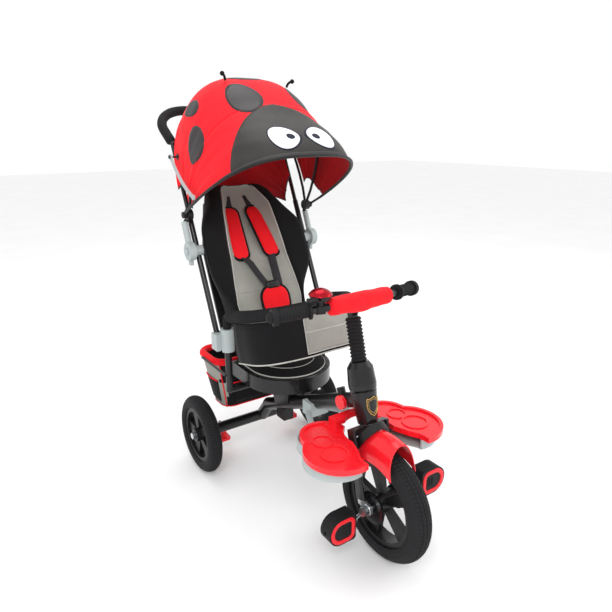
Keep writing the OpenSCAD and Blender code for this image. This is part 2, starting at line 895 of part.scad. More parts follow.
module push_grip() {
    color(rubber) difference() {
        union() {
            loop_pose() u_tube(tube_x, loop_reach, loop_bend, grip_r);
            both_sides() translate(at(tube_x, push_s(bend_z), bend_z)) sphere(grip_r + ball);
        }
        loop_pose() u_tube(tube_x, loop_reach, loop_bend, push_inner_r);
        both_sides() {
            translate(at(tube_x, push_s(bend_z), bend_z)) sphere(push_inner_r + ball);
            rod(at(tube_x, push_s(900), 900), at(tube_x, push_s(bend_z), bend_z), push_inner_r);
        }
    }
}

// ---- canopy ----
hub_s = 628;
hub_x = 203;
// radius of the canopy at an angle from the forward horizontal
function canopy_r(a) =
    a < 60 ? lerp(362, 318, ease((a - 27) / 33)) :
    a < 92 ? lerp(318, 367, ease((a - 60) / 32)) :
    a < 150 ? lerp(367, 228, ease((a - 92) / 58)) : lerp(228, 212, ease((a - 150) / 25));
function lerp(a, b, t) = a + (b - a) * t;
function ease(t) = t * t * (3 - 2 * t);
// superellipse across the canopy: u from -1 to 1 gives x and the share of the radius
function across(u) = let (p = 90 * u) [sign(u) * pow(abs(sin(p)), 0.667), pow(cos(p), 0.667)];
// a point of the canopy's outer face
function canopy_pt(a, u, inset, hw) = let (c = across(u), r = (canopy_r(a) - inset) * c.y)
    at((hw - inset) * c.x, hub_s - r * cos(a), hub_z + r * sin(a));

// thin closed shell of the canopy between two angles
module canopy_shell(a0, a1, u1, rows, cols, hw, inset) {
    n = cols + 1;
    pts = [for (layer = [0, 1]) for (i = [0 : rows]) for (j = [0 : cols])
        canopy_pt(a0 + (a1 - a0) * i / rows, u1 * (2 * j / cols - 1), inset + layer * cloth_t, hw)];
    m = (rows + 1) * n;
    outer = [for (i = [0 : rows - 1]) for (j = [0 : cols - 1])
        [i * n + j, i * n + j + 1, (i + 1) * n + j + 1, (i + 1) * n + j]];
    inner = [for (f = outer) [f[3] + m, f[2] + m, f[1] + m, f[0] + m]];
    front = [for (j = [0 : cols - 1]) [j + 1, j, j + m, j + 1 + m]];
    back = [for (j = [0 : cols - 1]) let (b = rows * n) [b + j, b + j + 1, b + j + 1 + m, b + j + m]];
    left = [for (i = [0 : rows - 1]) [i * n, (i + 1) * n, (i + 1) * n + m, i * n + m]];
    right = [for (i = [0 : rows - 1]) let (c = cols) [(i + 1) * n + c, i * n + c, i * n + c + m, (i + 1) * n + c + m]];
    polyhedron(points = pts, faces = concat(outer, inner, front, back, left, right), convexity = 6);
}

// round bar swept along the canopy's bow at an angle, between the hubs
module bow(a, inset, r, steps) {
    sides = 10;
    path = [for (j = [0 : steps]) canopy_pt(a, 0.955 * (2 * j / steps - 1), inset, canopy_hw)];
    up = [0, -cos(a), sin(a)];
    flat = [0, sin(a), cos(a)];
    pts = [for (j = [0 : steps])
        let (d = path[min(j + 1, steps)] - path[max(j - 1, 0)], side = cross(d / norm(d), flat))
        for (k = [0 : sides - 1])
            path[j] + r * (cos(k * 360 / sides) * side + sin(k * 360 / sides) * flat)];
    walls = [for (j = [0 : steps - 1]) for (k = [0 : sides - 1]) let (k2 = (k + 1) % sides)
        [j * sides + k, j * sides + k2, (j + 1) * sides + k2, (j + 1) * sides + k]];
    polyhedron(points = pts, faces = concat(walls,
        [[for (k = [sides - 1 : -1 : 0]) k]], [[for (k = [0 : sides - 1]) steps * sides + k]]), convexity = 6);
}

hood_from = 62;
hood_to = 113;
arm_top_z = 768;
arm_x = tube_x + 22.5;

// grey swinging halves of the canopy pivots with their post sockets
module canopy_arms() {
    color(grey_plastic) both_sides() difference() {
        union() {
            cross_rod(at(0, pivot_s, pivot_z), tube_x + 13.3, tube_x + 31.7, 26);
            rod(at(arm_x, pivot_s, pivot_z), at(arm_x, pivot_s + 32, arm_top_z), 9);
            translate(at(hub_x - 2, pivot_s - 6, pivot_z - 40)) cube([9, 16, 20]);
        }
        cross_rod(at(0, pivot_s, pivot_z), tube_x, tube_x + 40, 5 + run_gap);
    }
}

// posts, hub discs, and the middle and rear bows
module canopy_bows() {
    color(black) {
        both_sides() {
            difference() {
                union() {
                    rod(at(arm_x - 3, pivot_s + 32, arm_top_z), at(hub_x - 6, hub_s, hub_z), 6);
                    cross_rod(at(0, hub_s, hub_z), hub_x - 13, hub_x + 3, 15);
                    cross_rod(at(0, hub_s, hub_z), hub_x + 2.9, hub_x + 15, 4);
                }
                rod(at(arm_x, pivot_s, pivot_z), at(arm_x, pivot_s + 32, arm_top_z), 9);
            }
        }
        lever_studs();
        for (a = [hood_from + 2, hood_to - 2]) {
            bow(a, cloth_t + 7, 4, 28);
            both_sides() rod(at(hub_x - 6, hub_s, hub_z), canopy_pt(a, 0.955, cloth_t + 7, canopy_hw), 4);
        }
    }
}

module canopy_hood() {
    color(red) canopy_shell(hood_from, hood_to, 0.93, 10, 24, canopy_hw, 0);
}

module canopy_flap() {
    color(red) canopy_shell(hood_to + 0.5, 172, 0.9, 12, 18, 162, 0);
}

module canopy_front_panel() {
    color(red) canopy_shell(29.5, hood_from - 0.5, 0.93, 8, 24, canopy_hw, 0);
}

// lever that keeps one side of the canopy stretched: a bowed strip on a stud at its high end
lever_low = [530, 848];
lever_high = [668, 945];

module canopy_stretcher(side) {
    strip_w = 9;
    bulge = 12;
    along = (lever_high - lever_low) / norm(lever_high - lever_low);
    across = [along.y, -along.x];
    function arc_pt(t, off) = lever_low + (lever_high - lever_low) * t + across * (4 * bulge * t * (1 - t) + off);
    color(grey_plastic) mirror([side > 0 ? 0 : 1, 0, 0]) difference() {
        translate([canopy_hw + 9, 0, 0]) rotate([90, 0, 90]) linear_extrude(5) translate([front_y, 0]) {
            polygon(concat([for (i = [0 : 12]) arc_pt(i / 12, strip_w / 2)],
                           [for (i = [12 : -1 : 0]) arc_pt(i / 12, -strip_w / 2)]));
            translate(lever_low) circle(7);
            translate(lever_high) circle(7);
        }
        cross_rod(at(0, lever_high.x, lever_high.y), canopy_hw, canopy_hw + 20, 2.5 + run_gap);
    }
}

// studs that the stretching levers turn on
module lever_studs() {
    both_sides() {
        cross_rod(at(0, lever_high.x, lever_high.y), canopy_hw - 9, canopy_hw + 14.5, 2.5);
        cross_rod(at(0, lever_high.x, lever_high.y), canopy_hw + 14.3, canopy_hw + 17, 5);
        cross_rod(at(0, lever_high.x, lever_high.y), canopy_hw - 10, canopy_hw - 7, 8);
    }
}

module front_bow() {
    color(black) {
        bow(27, -4.6, 4, 32);
        both_sides() {
            difference() {
                union() {
                    rod(at(hub_x + 8, hub_s, hub_z), canopy_pt(27, 0.955, -4.6, canopy_hw), 3.5);
                    cross_rod(at(0, hub_s, hub_z), hub_x + 3.5, hub_x + 14, 9);
                }
                cross_rod(at(0, hub_s, hub_z), hub_x, hub_x + 18, 4 + run_gap);
            }
        }
    }
}

main_frame();
headset_bushes();
head_cover();
frame_caps();
frame_plug();
seat_pan();
seat_cushion();
recline_hinge();
side_posts();
tube_fittings();
push_tubes();
rear_axle();
frame_fasteners();
footrest_tray();
footrest_shells();
footrest_mount();
basket_body();
basket_rim();
fork();
fork_dropouts();
crank_bushes();
front_fender();
fender_strap();
column_cover();
bellows();
handlebar();
handlebar_pad();
grips();
bell_base();
bell_dome();
bell_lever();
front_tyre();
front_rim();
clutch_disc();
crank();
pedal(-1);  // pedal_right
pedal(1);  // pedal_left
rear_tyre(-1);  // rear_tyre_right
rear_tyre(1);  // rear_tyre_left
rear_rim(-1);  // rear_rim_right
rear_rim(1);  // rear_rim_left
brake_lever(-1);  // brake_lever_right
brake_lever(1);  // brake_lever_left
backrest_board();
backrest_pad();
harness_pads();
harness_straps();
guard_tube();
guard_foam();
guard_apron();
push_handle();
push_grip();
canopy_arms();
canopy_bows();
canopy_hood();
canopy_flap();
canopy_front_panel();
canopy_stretcher(-1);  // canopy_stretcher_right
canopy_stretcher(1);  // canopy_stretcher_left
front_bow();
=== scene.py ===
"""Looks of the children's tricycle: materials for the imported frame, and the soft goods, tyres and trims around it."""
import math

import bmesh
import bpy
import numpy as np
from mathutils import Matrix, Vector, noise as field


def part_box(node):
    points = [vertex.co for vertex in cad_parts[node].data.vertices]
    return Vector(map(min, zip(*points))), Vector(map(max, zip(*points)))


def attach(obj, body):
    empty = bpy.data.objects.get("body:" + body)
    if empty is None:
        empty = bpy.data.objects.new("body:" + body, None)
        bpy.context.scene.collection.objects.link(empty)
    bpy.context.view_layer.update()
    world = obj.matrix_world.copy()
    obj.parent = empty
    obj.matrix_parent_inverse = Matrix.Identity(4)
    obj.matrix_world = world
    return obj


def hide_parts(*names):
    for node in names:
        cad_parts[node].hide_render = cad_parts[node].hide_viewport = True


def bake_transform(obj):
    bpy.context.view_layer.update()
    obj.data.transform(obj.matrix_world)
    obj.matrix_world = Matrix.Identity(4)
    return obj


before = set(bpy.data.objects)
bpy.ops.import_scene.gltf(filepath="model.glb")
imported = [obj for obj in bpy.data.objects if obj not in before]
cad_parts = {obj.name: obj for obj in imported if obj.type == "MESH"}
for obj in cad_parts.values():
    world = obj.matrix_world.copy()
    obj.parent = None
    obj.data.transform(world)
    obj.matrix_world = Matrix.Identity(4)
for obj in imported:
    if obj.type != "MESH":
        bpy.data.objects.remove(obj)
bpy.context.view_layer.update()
MM = 0.001
SIDES = ((-1, "right"), (1, "left"))
ENDS = ((-1, "front"), (1, "rear"))


# ---------------------------------------------------------------- places
def middle(node):
    low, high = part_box(node)
    return (Vector(low) + Vector(high)) / 2


AXLE_Y = middle("front_tyre").y


def at(x, s, z):
    """A point from millimetres: x to the side, s behind the front axle, z above the floor."""
    return Vector((x * MM, s * MM + AXLE_Y, z * MM))


# ---------------------------------------------------------------- camera
def add_camera():
    azimuth = math.radians(-34.44)
    elevation = math.radians(17.7)
    back = Vector((math.sin(azimuth) * math.cos(elevation),
                   -math.cos(azimuth) * math.cos(elevation),
                   math.sin(elevation)))
    data = bpy.data.cameras.new("camera")
    data.sensor_width = 36
    data.lens = 32.18
    data.clip_end = 30
    camera = bpy.data.objects.new("camera", data)
    camera.location = at(-797, -825, 1012)
    camera.rotation_euler = back.to_track_quat("Z", "Y").to_euler()
    bpy.context.collection.objects.link(camera)
    bpy.context.scene.camera = camera


# ---------------------------------------------------------------- materials
class Finish:
    """A procedural material under construction, around one shader."""

    def __init__(self, name):
        self.material = bpy.data.materials.new(name)
        self.material.use_nodes = True
        self.nodes = self.material.node_tree.nodes
        self.links = self.material.node_tree.links
        self.shader = self.nodes["Principled BSDF"]

    def node(self, kind, linked, values):
        """A new node with its linked sockets and its constant ones."""
        node = self.nodes.new(kind)
        for socket, value in values.items():
            node.inputs[socket].default_value = value
        for socket, source in linked.items():
            self.links.new(source, node.inputs[socket])
        return node

    def coords(self, scale=(1, 1, 1)):
        place = self.nodes.new("ShaderNodeTexCoord").outputs["Object"]
        return self.node("ShaderNodeMapping", {"Vector": place}, {"Scale": scale}).outputs["Vector"]

    def noise(self, vector, scale, detail=4.0, rough=0.55):
        values = {"Scale": scale, "Detail": detail, "Roughness": rough}
        return self.node("ShaderNodeTexNoise", {"Vector": vector}, values).outputs["Fac"]

    def wave(self, vector, direction, scale):
        texture = self.node("ShaderNodeTexWave", {"Vector": vector}, {"Scale": scale, "Distortion": 0.6, "Detail": 1.0})
        texture.bands_direction = direction
        return texture.outputs["Fac"]

    def combine(self, operation, linked, values):
        node = self.node("ShaderNodeMath", linked, values)
        node.operation = operation
        return node.outputs[0]

    def roughness(self, value, low, high):
        values = {"From Min": 0.3, "From Max": 0.7, "To Min": low, "To Max": high}
        node = self.node("ShaderNodeMapRange", {"Value": value}, values)
        self.links.new(node.outputs["Result"], self.shader.inputs["Roughness"])

    def colour(self, value, dark, light):
        ramp = self.node("ShaderNodeValToRGB", {"Fac": value}, {})
        for element, position, shown in zip(ramp.color_ramp.elements, (0.3, 0.7), (dark, light)):
            element.position = position
            element.color = (*shown, 1)
        self.links.new(ramp.outputs["Color"], self.shader.inputs["Base Color"])

    def bump(self, height, distance, strength, normal=None):
        linked = {"Height": height} if normal is None else {"Height": height, "Normal": normal}
        node = self.node("ShaderNodeBump", linked, {"Distance": distance, "Strength": strength})
        self.links.new(node.outputs["Normal"], self.shader.inputs["Normal"])
        return node.outputs["Normal"]

    def set(self, values):
        for socket, value in values.items():
            self.shader.inputs[socket].default_value = value


def shade(colour, amount):
    return tuple(min(1.0, c * amount) for c in colour)


def woven(name, colour, pitch=0.0011, rough=0.85, sheen=0.25, contrast=0.25, coat=0.0):
    """Plain weave: crossed sets of threads with fibre noise and slow colour change."""
    finish = Finish(name)
    vector = finish.coords()
    across, up, deep = [finish.wave(vector, direction, 0.157 / pitch) for direction in ("X", "Z", "Y")]
    crossed = finish.combine("MAXIMUM", {0: across, 1: up}, {})
    threads = finish.combine("MULTIPLY_ADD", {0: deep, 2: crossed}, {1: 0.5})
    slow = finish.noise(vector, 14.0, 3.0)
    fibre = finish.noise(vector, 900.0, 2.0)
    mixed = finish.combine("MULTIPLY_ADD", {0: fibre, 2: slow}, {1: 0.5})
    evened = finish.combine("MULTIPLY", {0: mixed}, {1: 0.667})
    finish.colour(evened, shade(colour, 1 - contrast), shade(colour, 1 + contrast * 0.6))
    finish.roughness(slow, rough - 0.07, rough + 0.07)
    finish.set({"Specular IOR Level": 0.16, "Sheen Weight": sheen * 0.3, "Sheen Roughness": 0.5, "Coat Weight": coat,
                "Coat Roughness": 0.35})
    soft = finish.bump(slow, 0.004, 0.12)
    finish.bump(threads, 0.0003, 0.35, soft)
    return finish.material


def moulded(name, colour, rough, grain, coat):
    """Injection-moulded plastic: fine texture, slow sheen change, faint scuffs."""
    finish = Finish(name)
    vector = finish.coords()
    finish.colour(finish.noise(vector, 9.0, 3.0), shade(colour, 0.93), shade(colour, 1.05))
    finish.roughness(finish.noise(vector, 60.0, 8.0, 0.75), rough - 0.03, rough + 0.05)
    finish.set({"Specular IOR Level": 0.3, "Coat Weight": coat * 0.4, "Coat Roughness": 0.08})
    finish.bump(finish.noise(vector, 700.0, 3.0), 0.00025, grain)
    return finish.material


def painted(name, colour, rough):
    """Powder coat over steel tube, with light orange peel."""
    finish = Finish(name)
    vector = finish.coords()
    slow = finish.noise(vector, 12.0, 4.0)
    finish.colour(slow, shade(colour, 0.85), shade(colour, 1.15))
    finish.roughness(slow, rough - 0.05, rough + 0.08)
    finish.set({"Specular IOR Level": 0.35, "Coat Weight": 0.2, "Coat Roughness": 0.12})
    finish.bump(finish.noise(vector, 320.0, 2.0), 0.0004, 0.12)
    return finish.material


def plated(name, colour, rough=0.28, metallic=1.0):
    """Zinc-plated steel: brushed, slightly cloudy."""
    finish = Finish(name)
    brushed = finish.noise(finish.coords((40, 900, 900)), 1.0, 3.0)
    cloud = finish.noise(finish.coords(), 45.0, 5.0)
    finish.colour(cloud, shade(colour, 0.82), shade(colour, 1.08))
    finish.roughness(cloud, rough - 0.06, rough + 0.12)
    finish.set({"Metallic": metallic})
    finish.bump(brushed, 0.0002, 0.18)
    return finish.material


def rubber(name, colour, rough, grain, grain_scale, dust):
    """Rubber or foam: fine pores, and a little pale dust."""
    finish = Finish(name)
    vector = finish.coords()
    cloud = finish.noise(vector, 22.0, 6.0, 0.65)
    finish.colour(cloud, colour, shade(colour, 1 + dust))
    finish.roughness(cloud, rough - 0.06, rough + 0.1)
    finish.set({"Specular IOR Level": 0.22})
    finish.bump(finish.noise(vector, grain_scale, 4.0, 0.7), 0.0005, grain)
    return finish.material


RED = (0.86, 0.012, 0.022)
GREY = (0.33, 0.335, 0.30)

FINISHES = {
    "red_sheet": (woven, (0.9, 0.010, 0.020), 0.0009, 0.72, 0.12, 0.14),
    "lining": (woven, (0.42, 0.008, 0.012), 0.0009, 0.85, 0.1, 0.2),
    "spot": (woven, (0.03, 0.026, 0.028), 0.0008, 0.5, 0.05, 0.25, 0.25),
    "face": (woven, (0.034, 0.031, 0.029), 0.0008, 0.55, 0.05, 0.25, 0.15),
    "eye_white": (woven, (0.86, 0.87, 0.9), 0.0008, 0.6, 0.05, 0.06),
    "eye_dark": (woven, (0.012, 0.014, 0.03), 0.0008, 0.55, 0.05, 0.2),
    "band": (woven, (0.06, 0.055, 0.055), 0.0010, 0.75, 0.1, 0.3),
    "black_cloth": (woven, (0.007, 0.007, 0.008), 0.0012, 0.85, 0.2, 0.4),
    "grey_cloth": (woven, GREY, 0.0012, 0.9, 0.25, 0.18),
    "red_cloth": (woven, (0.88, 0.008, 0.016), 0.0011, 0.75, 0.2, 0.15),
    "piping": (woven, (0.5, 0.5, 0.47), 0.0008, 0.8, 0.2, 0.15),
    "red_piping": (woven, (0.85, 0.01, 0.02), 0.0008, 0.75, 0.2, 0.15),
    "strap": (woven, (0.03, 0.03, 0.033), 0.0014, 0.8, 0.2, 0.35),
    "steel": (painted, (0.006, 0.006, 0.007), 0.3),
    "zinc": (plated, (0.68, 0.70, 0.72)),
    "gold": (plated, (0.62, 0.42, 0.14), 0.35),
    "red_plastic": (moulded, RED, 0.24, 0.06, 0.7),
    "red_matt": (moulded, RED, 0.42, 0.15, 0.2),
    "black_plastic": (moulded, (0.007, 0.007, 0.008), 0.42, 0.35, 0.15),
    "black_gloss": (moulded, (0.006, 0.006, 0.007), 0.25, 0.1, 0.5),
    "grey_plastic": (moulded, (0.40, 0.45, 0.45), 0.42, 0.25, 0.15),
    "tyre": (rubber, (0.008, 0.008, 0.009), 0.7, 0.5, 300.0, 0.8),
    "grip": (rubber, (0.007, 0.007, 0.008), 0.6, 0.5, 500.0, 0.5),
    "foam": (rubber, (0.007, 0.007, 0.008), 0.8, 0.9, 260.0, 0.6),
    "bell": (plated, (0.45, 0.01, 0.02), 0.16, 0.85),
}
M = {name: kind(name, *values) for name, (kind, *values) in FINISHES.items()}


def paint(node, material):
    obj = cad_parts[node]
    for slot in obj.material_slots:
        slot.material = M[material]


CAD_FINISH = {
    "steel": ["main_frame", "recline_hinge", "side_posts", "push_tubes", "fork", "handlebar", "guard_tube",
              "push_handle"],
    "zinc": ["headset_bushes", "rear_axle", "frame_fasteners", "fork_dropouts", "crank_bushes", "crank"],
    "black_plastic": ["frame_plug", "fender_strap", "front_rim", "rear_rim_right", "rear_rim_left", "bell_base",
                      "bell_lever", "backrest_board", "canopy_bows", "front_bow"],
    "black_gloss": ["head_cover", "column_cover", "seat_pan", "clutch_disc"],
    "red_plastic": ["footrest_tray", "front_fender", "frame_caps"],
    "red_matt": ["brake_lever_right", "brake_lever_left"],
    "grey_plastic": ["tube_fittings", "footrest_shells", "footrest_mount", "canopy_arms", "canopy_stretcher_right",
                     "canopy_stretcher_left"],
    "grip": ["bellows", "grips", "pedal_right", "pedal_left"],
    "bell": ["bell_dome"],
}


def finish_cad():
    for material, nodes in CAD_FINISH.items():
        for node in nodes:
            paint(node, material)


# ---------------------------------------------------------------- mesh tools
def make(name, verts, faces, materials, body, face_material=None):
    mesh = bpy.data.meshes.new(name)
    mesh.from_pydata([tuple(v) for v in verts], [], faces)
    for material in materials:
        mesh.materials.append(M[material])
    if face_material is not None:
        mesh.polygons.foreach_set("material_index", face_material)
    mesh.polygons.foreach_set("use_smooth", [True] * len(mesh.polygons))
    mesh.validate()
    obj = bpy.data.objects.new(name, mesh)
    bpy.context.collection.objects.link(obj)
    if body:
        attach(obj, body)
    return obj


def tidy_mesh(obj, weld=0.0):
    """Turns the normals outwards, after joining points closer than weld."""
    bm = bmesh.new()
    bm.from_mesh(obj.data)
    if weld:
        bmesh.ops.remove_doubles(bm, verts=bm.verts, dist=weld)
    bmesh.ops.recalc_face_normals(bm, faces=bm.faces)
    bm.to_mesh(obj.data)
    bm.free()


def solid(name, verts, faces, materials, body, face_material=None):
    """A closed mesh with its normals turned outwards."""
    obj = make(name, verts, faces, materials, body, face_material)
    tidy_mesh(obj)
    return obj


def loft_faces(rows, count, closed=False):
    """Quads between rows of count points each; closed joins the last row to the first."""
    faces = []
    for i in range(rows if closed else rows - 1):
        j = (i + 1) % rows
        for k in range(count):
            k2 = (k + 1) % count
            faces.append((i * count + k, i * count + k2, j * count + k2, j * count + k))
    return faces


def end_caps(rows, count, first=1):
    """The first and the last row of a loft as faces; first=-1 turns the first one over."""
    return [tuple(range(count))[::first], tuple((rows - 1) * count + k for k in range(count))]


def double_disc_faces(count, rings):
    """Two discs, each a middle point and rings of count points, joined at their rims."""
    size = 1 + rings * count
    faces = []
    for base in (0, size):
        for k in range(count):
            k2 = (k + 1) % count
            faces.append((base, base + 1 + k, base + 1 + k2))
            for ring in range(rings - 1):
                a = base + 1 + ring * count
                faces.append((a + k, a + count + k, a + count + k2, a + k2))
    rim = size - count
    for k in range(count):
        k2 = (k + 1) % count
        faces.append((rim + k, rim + size + k, rim + size + k2, rim + k2))
    return faces


def apply_modifiers(obj):
    deps = bpy.context.evaluated_depsgraph_get()
    mesh = bpy.data.meshes.new_from_object(obj.evaluated_get(deps))
    obj.modifiers.clear()
    obj.data = mesh


def smooth_more(obj):
    modifier = obj.modifiers.new("smooth", "SUBSURF")
    modifier.levels = modifier.render_levels = 1
    apply_modifiers(obj)


def sheet_mesh(name, point, us, vs, thickness, materials, body, inside):
    """Closed thin sheet from a function point(u, v) giving its outer face, which looks away from the point inside.

    The lining takes the last material.
    """
    grid = np.array([[list(point(u, v)) for v in vs] for u in us])
    normal = np.cross(np.gradient(grid, axis=0), np.gradient(grid, axis=1))
    normal = normal / np.maximum(np.linalg.norm(normal, axis=2, keepdims=True), 1e-12)
    flip = np.sign(((grid - np.array(inside)) * normal).sum(2, keepdims=True))
    flip[flip == 0] = 1
    normal = normal * np.sign(flip.sum())
    n, m = len(us), len(vs)
    under = n * m
    verts = list(grid.reshape(-1, 3)) + list((grid - normal * thickness).reshape(-1, 3))
    faces, index = [], []
    for i in range(n - 1):
        for j in range(m - 1):
            a, b, c, d = i * m + j, i * m + j + 1, (i + 1) * m + j + 1, (i + 1) * m + j
            faces += [(a, b, c, d), (d + under, c + under, b + under, a + under)]
            index += [0, len(materials) - 1]
    rim = ([j for j in range(m)] + [i * m + m - 1 for i in range(1, n)]
           + [(n - 1) * m + j for j in range(m - 2, -1, -1)] + [i * m for i in range(n - 2, 0, -1)])
    for a, b in zip(rim, rim[1:] + rim[:1]):
        faces.append((b, a, a + under, b + under))
        index.append(0)
    return solid(name, verts, faces, materials, body, index)


def parallel_frames(path, closed, up):
    count = len(path)
    frames = []
    normal = None
    for i in range(count):
        before = path[(i - 1) % count] if (closed or i > 0) else path[i]
        after = path[(i + 1) % count] if (closed or i < count - 1) else path[i]
        tangent = (after - before).normalized()
        if normal is None:
            normal = (up - tangent * up.dot(tangent)).normalized()
        else:
            normal = (normal - tangent * normal.dot(tangent)).normalized()
        frames.append((tangent, normal, tangent.cross(normal)))
    return frames


def sweep(name, path, radius, material, body, sides=20, closed=False, up=Vector((0, 0, 1)), flat=(1, 1)):
    """Round or oval bar along a path; radius is a number or a function of the share of the way along."""
    path = [Vector(p) for p in path]
    count = len(path)
    verts = []
    for i, (centre, (tangent, normal, side)) in enumerate(zip(path, parallel_frames(path, closed, up))):
        r = radius(i / (count - 1)) if callable(radius) else radius
        for k in range(sides):
            angle = 2 * math.pi * k / sides
            verts.append(centre + normal * (r * flat[0] * math.cos(angle)) + side * (r * flat[1] * math.sin(angle)))
    faces = loft_faces(count, sides, closed)
    if not closed:
        faces += end_caps(count, sides, -1)
    return solid(name, verts, faces, [material], body)


def rounded_path(points, radius, steps=8, closed=False):
    """Polyline with its corners turned into arcs."""
    points = [Vector(p) for p in points]
    count = len(points)
    out = []
    for i, p in enumerate(points):
        if not closed and i in (0, count - 1):
            out.append(p)
            continue
        a = points[(i - 1) % count] - p
        b = points[(i + 1) % count] - p
        cut = min(radius, a.length * 0.49, b.length * 0.49)
        first, last = p + a.normalized() * cut, p + b.normalized() * cut
        for k in range(steps + 1):
            t = k / steps
            out.append(first * (1 - t) ** 2 + p * 2 * t * (1 - t) + last * t ** 2)
    return out


def fine_path(points, step):
    """Points no further apart than step along straight stretches."""
    out = [Vector(points[0])]
    for p, q in zip(points, points[1:]):
        p, q = Vector(p), Vector(q)
        pieces = max(1, int((q - p).length / step))
        out += [p.lerp(q, (k + 1) / pieces) for k in range(pieces)]
    return out


def cut(obj, flat, area, held, rests_on):
    """Takes a sheet with a flat cut worked out from the bows, hoops and seams it spans, not from the mesh; it records
    nothing and only reads the list of parts.
    """
    list(rests_on)


def shares(count):
    return list(np.linspace(0, 1, count))


def subdivide(values, times):
    return list(np.linspace(values[0], values[1], times + 1))


# ---------------------------------------------------------------- canopy
HUB_S = 628
HUB_Z = 790
CANOPY_HW = 212
FRONT_ANGLE = 28
MID_ANGLE = 62
REAR_ANGLE = 113
FLAP_ANGLE = 172
FLAP_HW = 162


def ease(t):
    return t * t * (3 - 2 * t)


def canopy_r(angle):
    if angle < 60:
        return 362 + (318 - 362) * ease(max(0.0, (angle - 27) / 33))
    if angle < 92:
        return 318 + (367 - 318) * ease((angle - 60) / 32)
    if angle < 150:
        return 367 + (228 - 367) * ease((angle - 92) / 58)
    return 228 + (212 - 228) * ease(min(1.0, (angle - 150) / 25))


def canopy_point(angle, u, lift=0.0, half_width=CANOPY_HW):
    phi = math.radians(90 * u)
    across = math.copysign(abs(math.sin(phi)) ** 0.667, phi)
    share = max(0.0, math.cos(phi)) ** 0.667
    radius = (canopy_r(angle) + lift) * share
    a = math.radians(angle)
    return at((half_width + lift) * across, HUB_S - radius * math.cos(a), HUB_Z + radius * math.sin(a))


CANOPY_CENTRE = at(0, HUB_S, 850)
SIDE_EDGE = 0.93
FLAP_EDGE = 0.9


def billow(angle, u):
    """How far the cloth dips between the bows, in millimetres, with small pulls towards the hubs."""
    dip = 0.0
    for low, high in ((FRONT_ANGLE, MID_ANGLE), (MID_ANGLE, REAR_ANGLE), (REAR_ANGLE, FLAP_ANGLE)):
        if low < angle < high:
            t = (angle - low) / (high - low)
            dip = math.sin(math.pi * t)
    pull = math.sin(angle * 0.55 + 3 * u) * math.sin(7 * u + angle * 0.12)
    return -3.2 * dip + 1.1 * pull * (abs(u) ** 0.5)


def canopy_sheet(name, start, stop, u_max, rows, columns, body, half_width=CANOPY_HW):
    def point(angle, u):
        return canopy_point(angle, u, billow(angle, u), half_width)
    return sheet_mesh(name, point, subdivide((start, stop), rows), subdivide((-u_max, u_max), columns),
                      1.3 * MM, ["red_sheet", "lining"], body, CANOPY_CENTRE)


def patch(name, outline, material, body, lift=0.9, rings=6, half_width=CANOPY_HW, centre=None):
    """Patch of cloth sewn on the canopy, from an outline of (angle, u) filled in rings."""
    if centre is None:
        centre = (sum(a for a, u in outline) / len(outline), sum(u for a, u in outline) / len(outline))
    verts = []
    count = len(outline)

    def place(angle, u, extra):
        return canopy_point(angle, u, billow(angle, u) + extra, half_width)

    for layer, extra in ((0, lift), (1, 0.1)):
        verts.append(place(*centre, extra))
        for ring in range(1, rings + 1):
            t = ring / rings
            edge = 0.35 if (ring == rings and layer == 0) else 0.0
            for angle, u in outline:
                verts.append(place(centre[0] + (angle - centre[0]) * t, centre[1] + (u - centre[1]) * t, extra - edge))
    return solid(name, verts, double_disc_faces(count, rings), [material], body)


def oval(angle, u, half_angle, half_u, count=40):
    turns = [2 * math.pi * k / count for k in range(count)]
    return [(angle + half_angle * math.sin(t), u + half_u * math.cos(t)) for t in turns]


def canopy_line(name, points, radius, material, body, lift, half_width=CANOPY_HW):
    path = [canopy_point(a, u, billow(a, u) + lift, half_width) for a, u in points]
    return sweep(name, path, radius * MM, material, body, 8)


